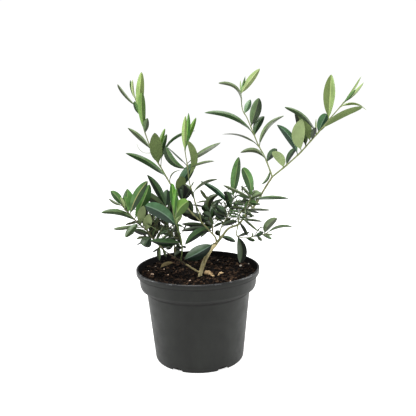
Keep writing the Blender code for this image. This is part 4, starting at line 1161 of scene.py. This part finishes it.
def chip(centre, size, chance, flat=0.5):
    """Vertices and faces of one small angular crumb."""
    turn = Matrix.Rotation(chance.uniform(0, 6.3), 3, "Z")
    turn = turn @ Matrix.Rotation(chance.uniform(-0.9, 0.9), 3, "X")
    sides = chance.choice((4, 5, 6))
    long = size * chance.uniform(0.9, 1.7)
    wide = size * chance.uniform(0.6, 1.0)
    thick = size * flat * chance.uniform(0.6, 1.1)
    rings = []
    for level, share in ((-0.5, 0.6), (0.1, 1.0), (0.5, 0.55)):
        section = []
        for angle in angles_around(sides):
            jitter = chance.uniform(0.75, 1.2)
            offset = Vector((long / 2 * share * jitter * math.cos(angle),
                             wide / 2 * share * jitter * math.sin(angle), thick * level))
            section.append(centre + turn @ offset)
        rings.append(section)
    return loft(rings)


def pellet(centre, radius, chance):
    """Vertices and faces of a rounded grain."""
    rings = []
    squash = chance.uniform(0.75, 0.95)
    for level in range(1, 7):
        polar = math.pi * level / 7
        section = []
        for angle in angles_around(10):
            r = radius * (1 + 0.06 * math.sin(3 * angle + level))
            section.append(centre + Vector((r * math.sin(polar) * math.cos(angle),
                                            r * math.sin(polar) * math.sin(angle),
                                            -r * squash * math.cos(polar))))
        rings.append(section)
    return loft(rings)


def make_peat():
    """The peat's lumpy surface with its crumbs, bark chips and grains."""
    damp = mottled("peat_damp", (13, 9, 7), 0.6, 300, 0.95, 0.08, 0.8)
    browns = [mottled(f"peat_{k}", colour, 0.4, 300, 0.92, 0.12, 0.4)
              for k, colour in enumerate(CRUMB_BROWNS)]
    chips = {"tan": mottled("wood_chip", (206, 176, 134), 0.35, 500, 0.85, 0.15, 0.5), "brown": browns[3]}
    grains = {"pink": mottled("grain", (240, 206, 178), 0.10, 400, 0.6, 0.3),
              "white": mottled("perlite", (226, 216, 202), 0.10, 400, 0.9, 0.2)}
    husk = mottled("dry_leaf", (104, 92, 62), 0.35, 160, 0.8, 0.15, 0.3)

    ground = Body()
    circle = [(math.cos(angle), math.sin(angle)) for angle in angles_around(SOIL_SIDES)]
    rings = [[Vector((radius * x, radius * y, height)) for x, y in circle]
             for radius, height in ((BODY_FOOT - WALL - 0.6, FLOOR_TOP + 0.5),
                                    (BODY_TOP - WALL - 0.6, BODY_TOP_HEIGHT),
                                    (COLLAR_FOOT - WALL - 2.0, COLLAR_BASE), (SOIL_EDGE, COLLAR_BASE + 3))]
    radius = SOIL_EDGE
    while radius > 0.8:
        places = [(radius * x, radius * y) for x, y in circle]
        rings.append([Vector((x, y, soil_height(x, y))) for x, y in places])
        radius -= SOIL_STEPS[0] if radius > SOIL_MIDDLE else SOIL_STEPS[1]
    ground.add(*loft(rings), damp)
    ground.make("peat", "peat", "soil", sharp=0)

    crumbs = Body()
    chance = random.Random(7)
    for _ in range(CRUMBS):
        radius = max(0.5, SOIL_EDGE * math.sqrt(chance.random()) - 1.0)
        angle = chance.uniform(0, 2 * math.pi)
        x, y = radius * math.cos(angle), radius * math.sin(angle)
        size = 0.8 + 4.8 * chance.random() ** 3.4
        centre = Vector((x, y, soil_height(x, y) + size * 0.14))
        crumbs.add(*chip(centre, size, chance), browns[min(4, int(chance.random() ** 1.7 * 5))])
    crumbs.make("peat_crumbs", "peat", "soil", sharp=20)

    bits = Body()
    for x, y, size, colour, flat in CHIPS:
        centre = Vector((x, y, soil_height(x, y) + size * 0.2))
        bits.add(*chip(centre, size, random.Random(f"{x} {y}"), flat), chips[colour])
    for x, y, radius, colour in GRAINS:
        centre = Vector((x, y, soil_height(x, y) + radius * 0.4))
        bits.add(*pellet(centre, radius, random.Random(f"{x} {y}")), grains[colour])
    foot = Vector((*DRY_LEAF_PLACE, soil_height(*DRY_LEAF_PLACE) + 1.4))
    face = Vector((0.2, -0.7, 0.65)).normalized()
    lift = Vector((-1.5, 1.5, 1.6))
    verts, faces, _ = blade(foot, Vector(DRY_LEAF_REACH), DRY_LEAF_WIDTH, face, lift, random.Random(3))
    bits.add(verts, faces, husk)
    bits.make("peat_bits", "peat", "soil", sharp=35)


# ---------------------------------------------------------------- studio

def show_camera(tree, seen, other, surface):
    """Shows the camera one shader and every other ray the other."""
    path = tree.nodes.new("ShaderNodeLightPath")
    mix = tree.nodes.new("ShaderNodeMixShader")
    tree.links.new(path.outputs["Is Camera Ray"], mix.inputs["Fac"])
    tree.links.new(other.outputs[0], mix.inputs[1])
    tree.links.new(seen.outputs[0], mix.inputs[2])
    tree.links.new(mix.outputs[0], surface)


def make_disc(name, radius, height, material):
    """A round piece of floor, in metres."""
    bpy.ops.mesh.primitive_circle_add(vertices=96, radius=radius, fill_type="NGON",
                                      location=(0, 0, height))
    disc = bpy.context.object
    disc.name = name
    disc.data.materials.append(material)
    return disc


def make_studio():
    """Pale floor, white surround, soft boxes and a dark disc of painted shade under the pot."""
    white, shader = new_material("floor_white", 0.9, 0.1)
    tree = white.node_tree
    dimmer = tree.nodes.new("ShaderNodeBsdfPrincipled")
    for each, strength in ((shader, FLOOR_GLOW), (dimmer, FLOOR_GLOW * FLOOR_DIM)):
        set_inputs(each, {"Base Color": (0.86, 0.86, 0.86, 1), "Roughness": 0.9,
                          "Emission Color": (1, 1, 1, 1), "Emission Strength": strength})
    show_camera(tree, shader, dimmer, tree.nodes["Material Output"].inputs["Surface"])
    floor = make_disc("floor", FLOOR_RADIUS, -0.0005, white)
    # painted shade: a dark disc on the floor under the pot
    dark, shader = new_material("floor_shade", 0.9, 0.1)
    set_inputs(shader, {"Base Color": (0.06, 0.055, 0.05, 1)})
    shade = make_disc("floor_under_pot", (BODY_FOOT - PAINTED_SHADE_INSET) * MM, -0.0002, dark)

    world = bpy.data.worlds.new("studio")
    world.use_nodes = True
    nodes = world.node_tree.nodes
    nodes.clear()
    backgrounds = []
    for strength in (WORLD_SEEN, WORLD_LIGHT):
        background = nodes.new("ShaderNodeBackground")
        set_inputs(background, {"Color": (1, 1, 1, 1), "Strength": strength})
        backgrounds.append(background)
    show_camera(world.node_tree, *backgrounds, nodes.new("ShaderNodeOutputWorld").inputs["Surface"])
    bpy.context.scene.world = world

    for name, place, size, power in LIGHTS:
        lamp = bpy.data.lights.new(name, "AREA")
        lamp.size = size
        lamp.energy = power
        light = new_object(name, lamp)
        light.location = place
        aim = Vector(LIGHTS_AIM) - light.location
        light.rotation_euler = aim.to_track_quat("-Z", "Y").to_euler()


def make_camera():
    """Camera in front of the plant, a little above its crown and looking down."""
    flat = math.cos(CAMERA_PITCH)
    forward = Vector((math.sin(CAMERA_YAW) * flat, math.cos(CAMERA_YAW) * flat, -math.sin(CAMERA_PITCH)))
    level = Vector((math.cos(CAMERA_YAW), -math.sin(CAMERA_YAW), 0))
    above = level.cross(forward)
    right = level * math.cos(CAMERA_ROLL) + above * math.sin(CAMERA_ROLL)
    up = above * math.cos(CAMERA_ROLL) - level * math.sin(CAMERA_ROLL)
    data = bpy.data.cameras.new("camera")
    data.sensor_width = 36
    data.lens = 50
    data.clip_start = 0.05
    data.clip_end = 30
    camera = new_object("camera", data)
    pose = Matrix((right, up, -forward)).transposed().to_4x4()
    pose.translation = Vector(CAMERA_PLACE) * MM
    camera.matrix_world = pose
    bpy.context.scene.camera = camera


# ---------------------------------------------------------------- the whole

def main():
    """Builds the studio, the pot, the peat, the limbs and then every shoot."""
    for obj in list(bpy.data.objects):
        if obj.type in ("CAMERA", "LIGHT"):
            bpy.data.objects.remove(obj)
    bpy.context.scene.view_settings.view_transform = "Standard"
    make_studio()
    make_camera()
    make_pot()
    make_peat()
    barks = {name: bark_material(name) for name in BARKS}
    for name, limb in LIMBS.items():
        # the low left bough's far part takes the grey bark, painted shade
        make_limb(name, limb, barks["tan" if limb in (TRUNK, LOW_LEFT_BOUGH) else "olive"],
                  barks["grey"] if limb is LOW_LEFT_BOUGH else None)
    greens = leaf_materials()
    woods = {name: mottled(f"twig_{name}", *look) for name, look in WOODS.items()}
    growth = plan_growth(SHOOTS, LIMBS)
    for shoot in SHOOTS:
        make_shoot(shoot, growth, greens, woods)


main()
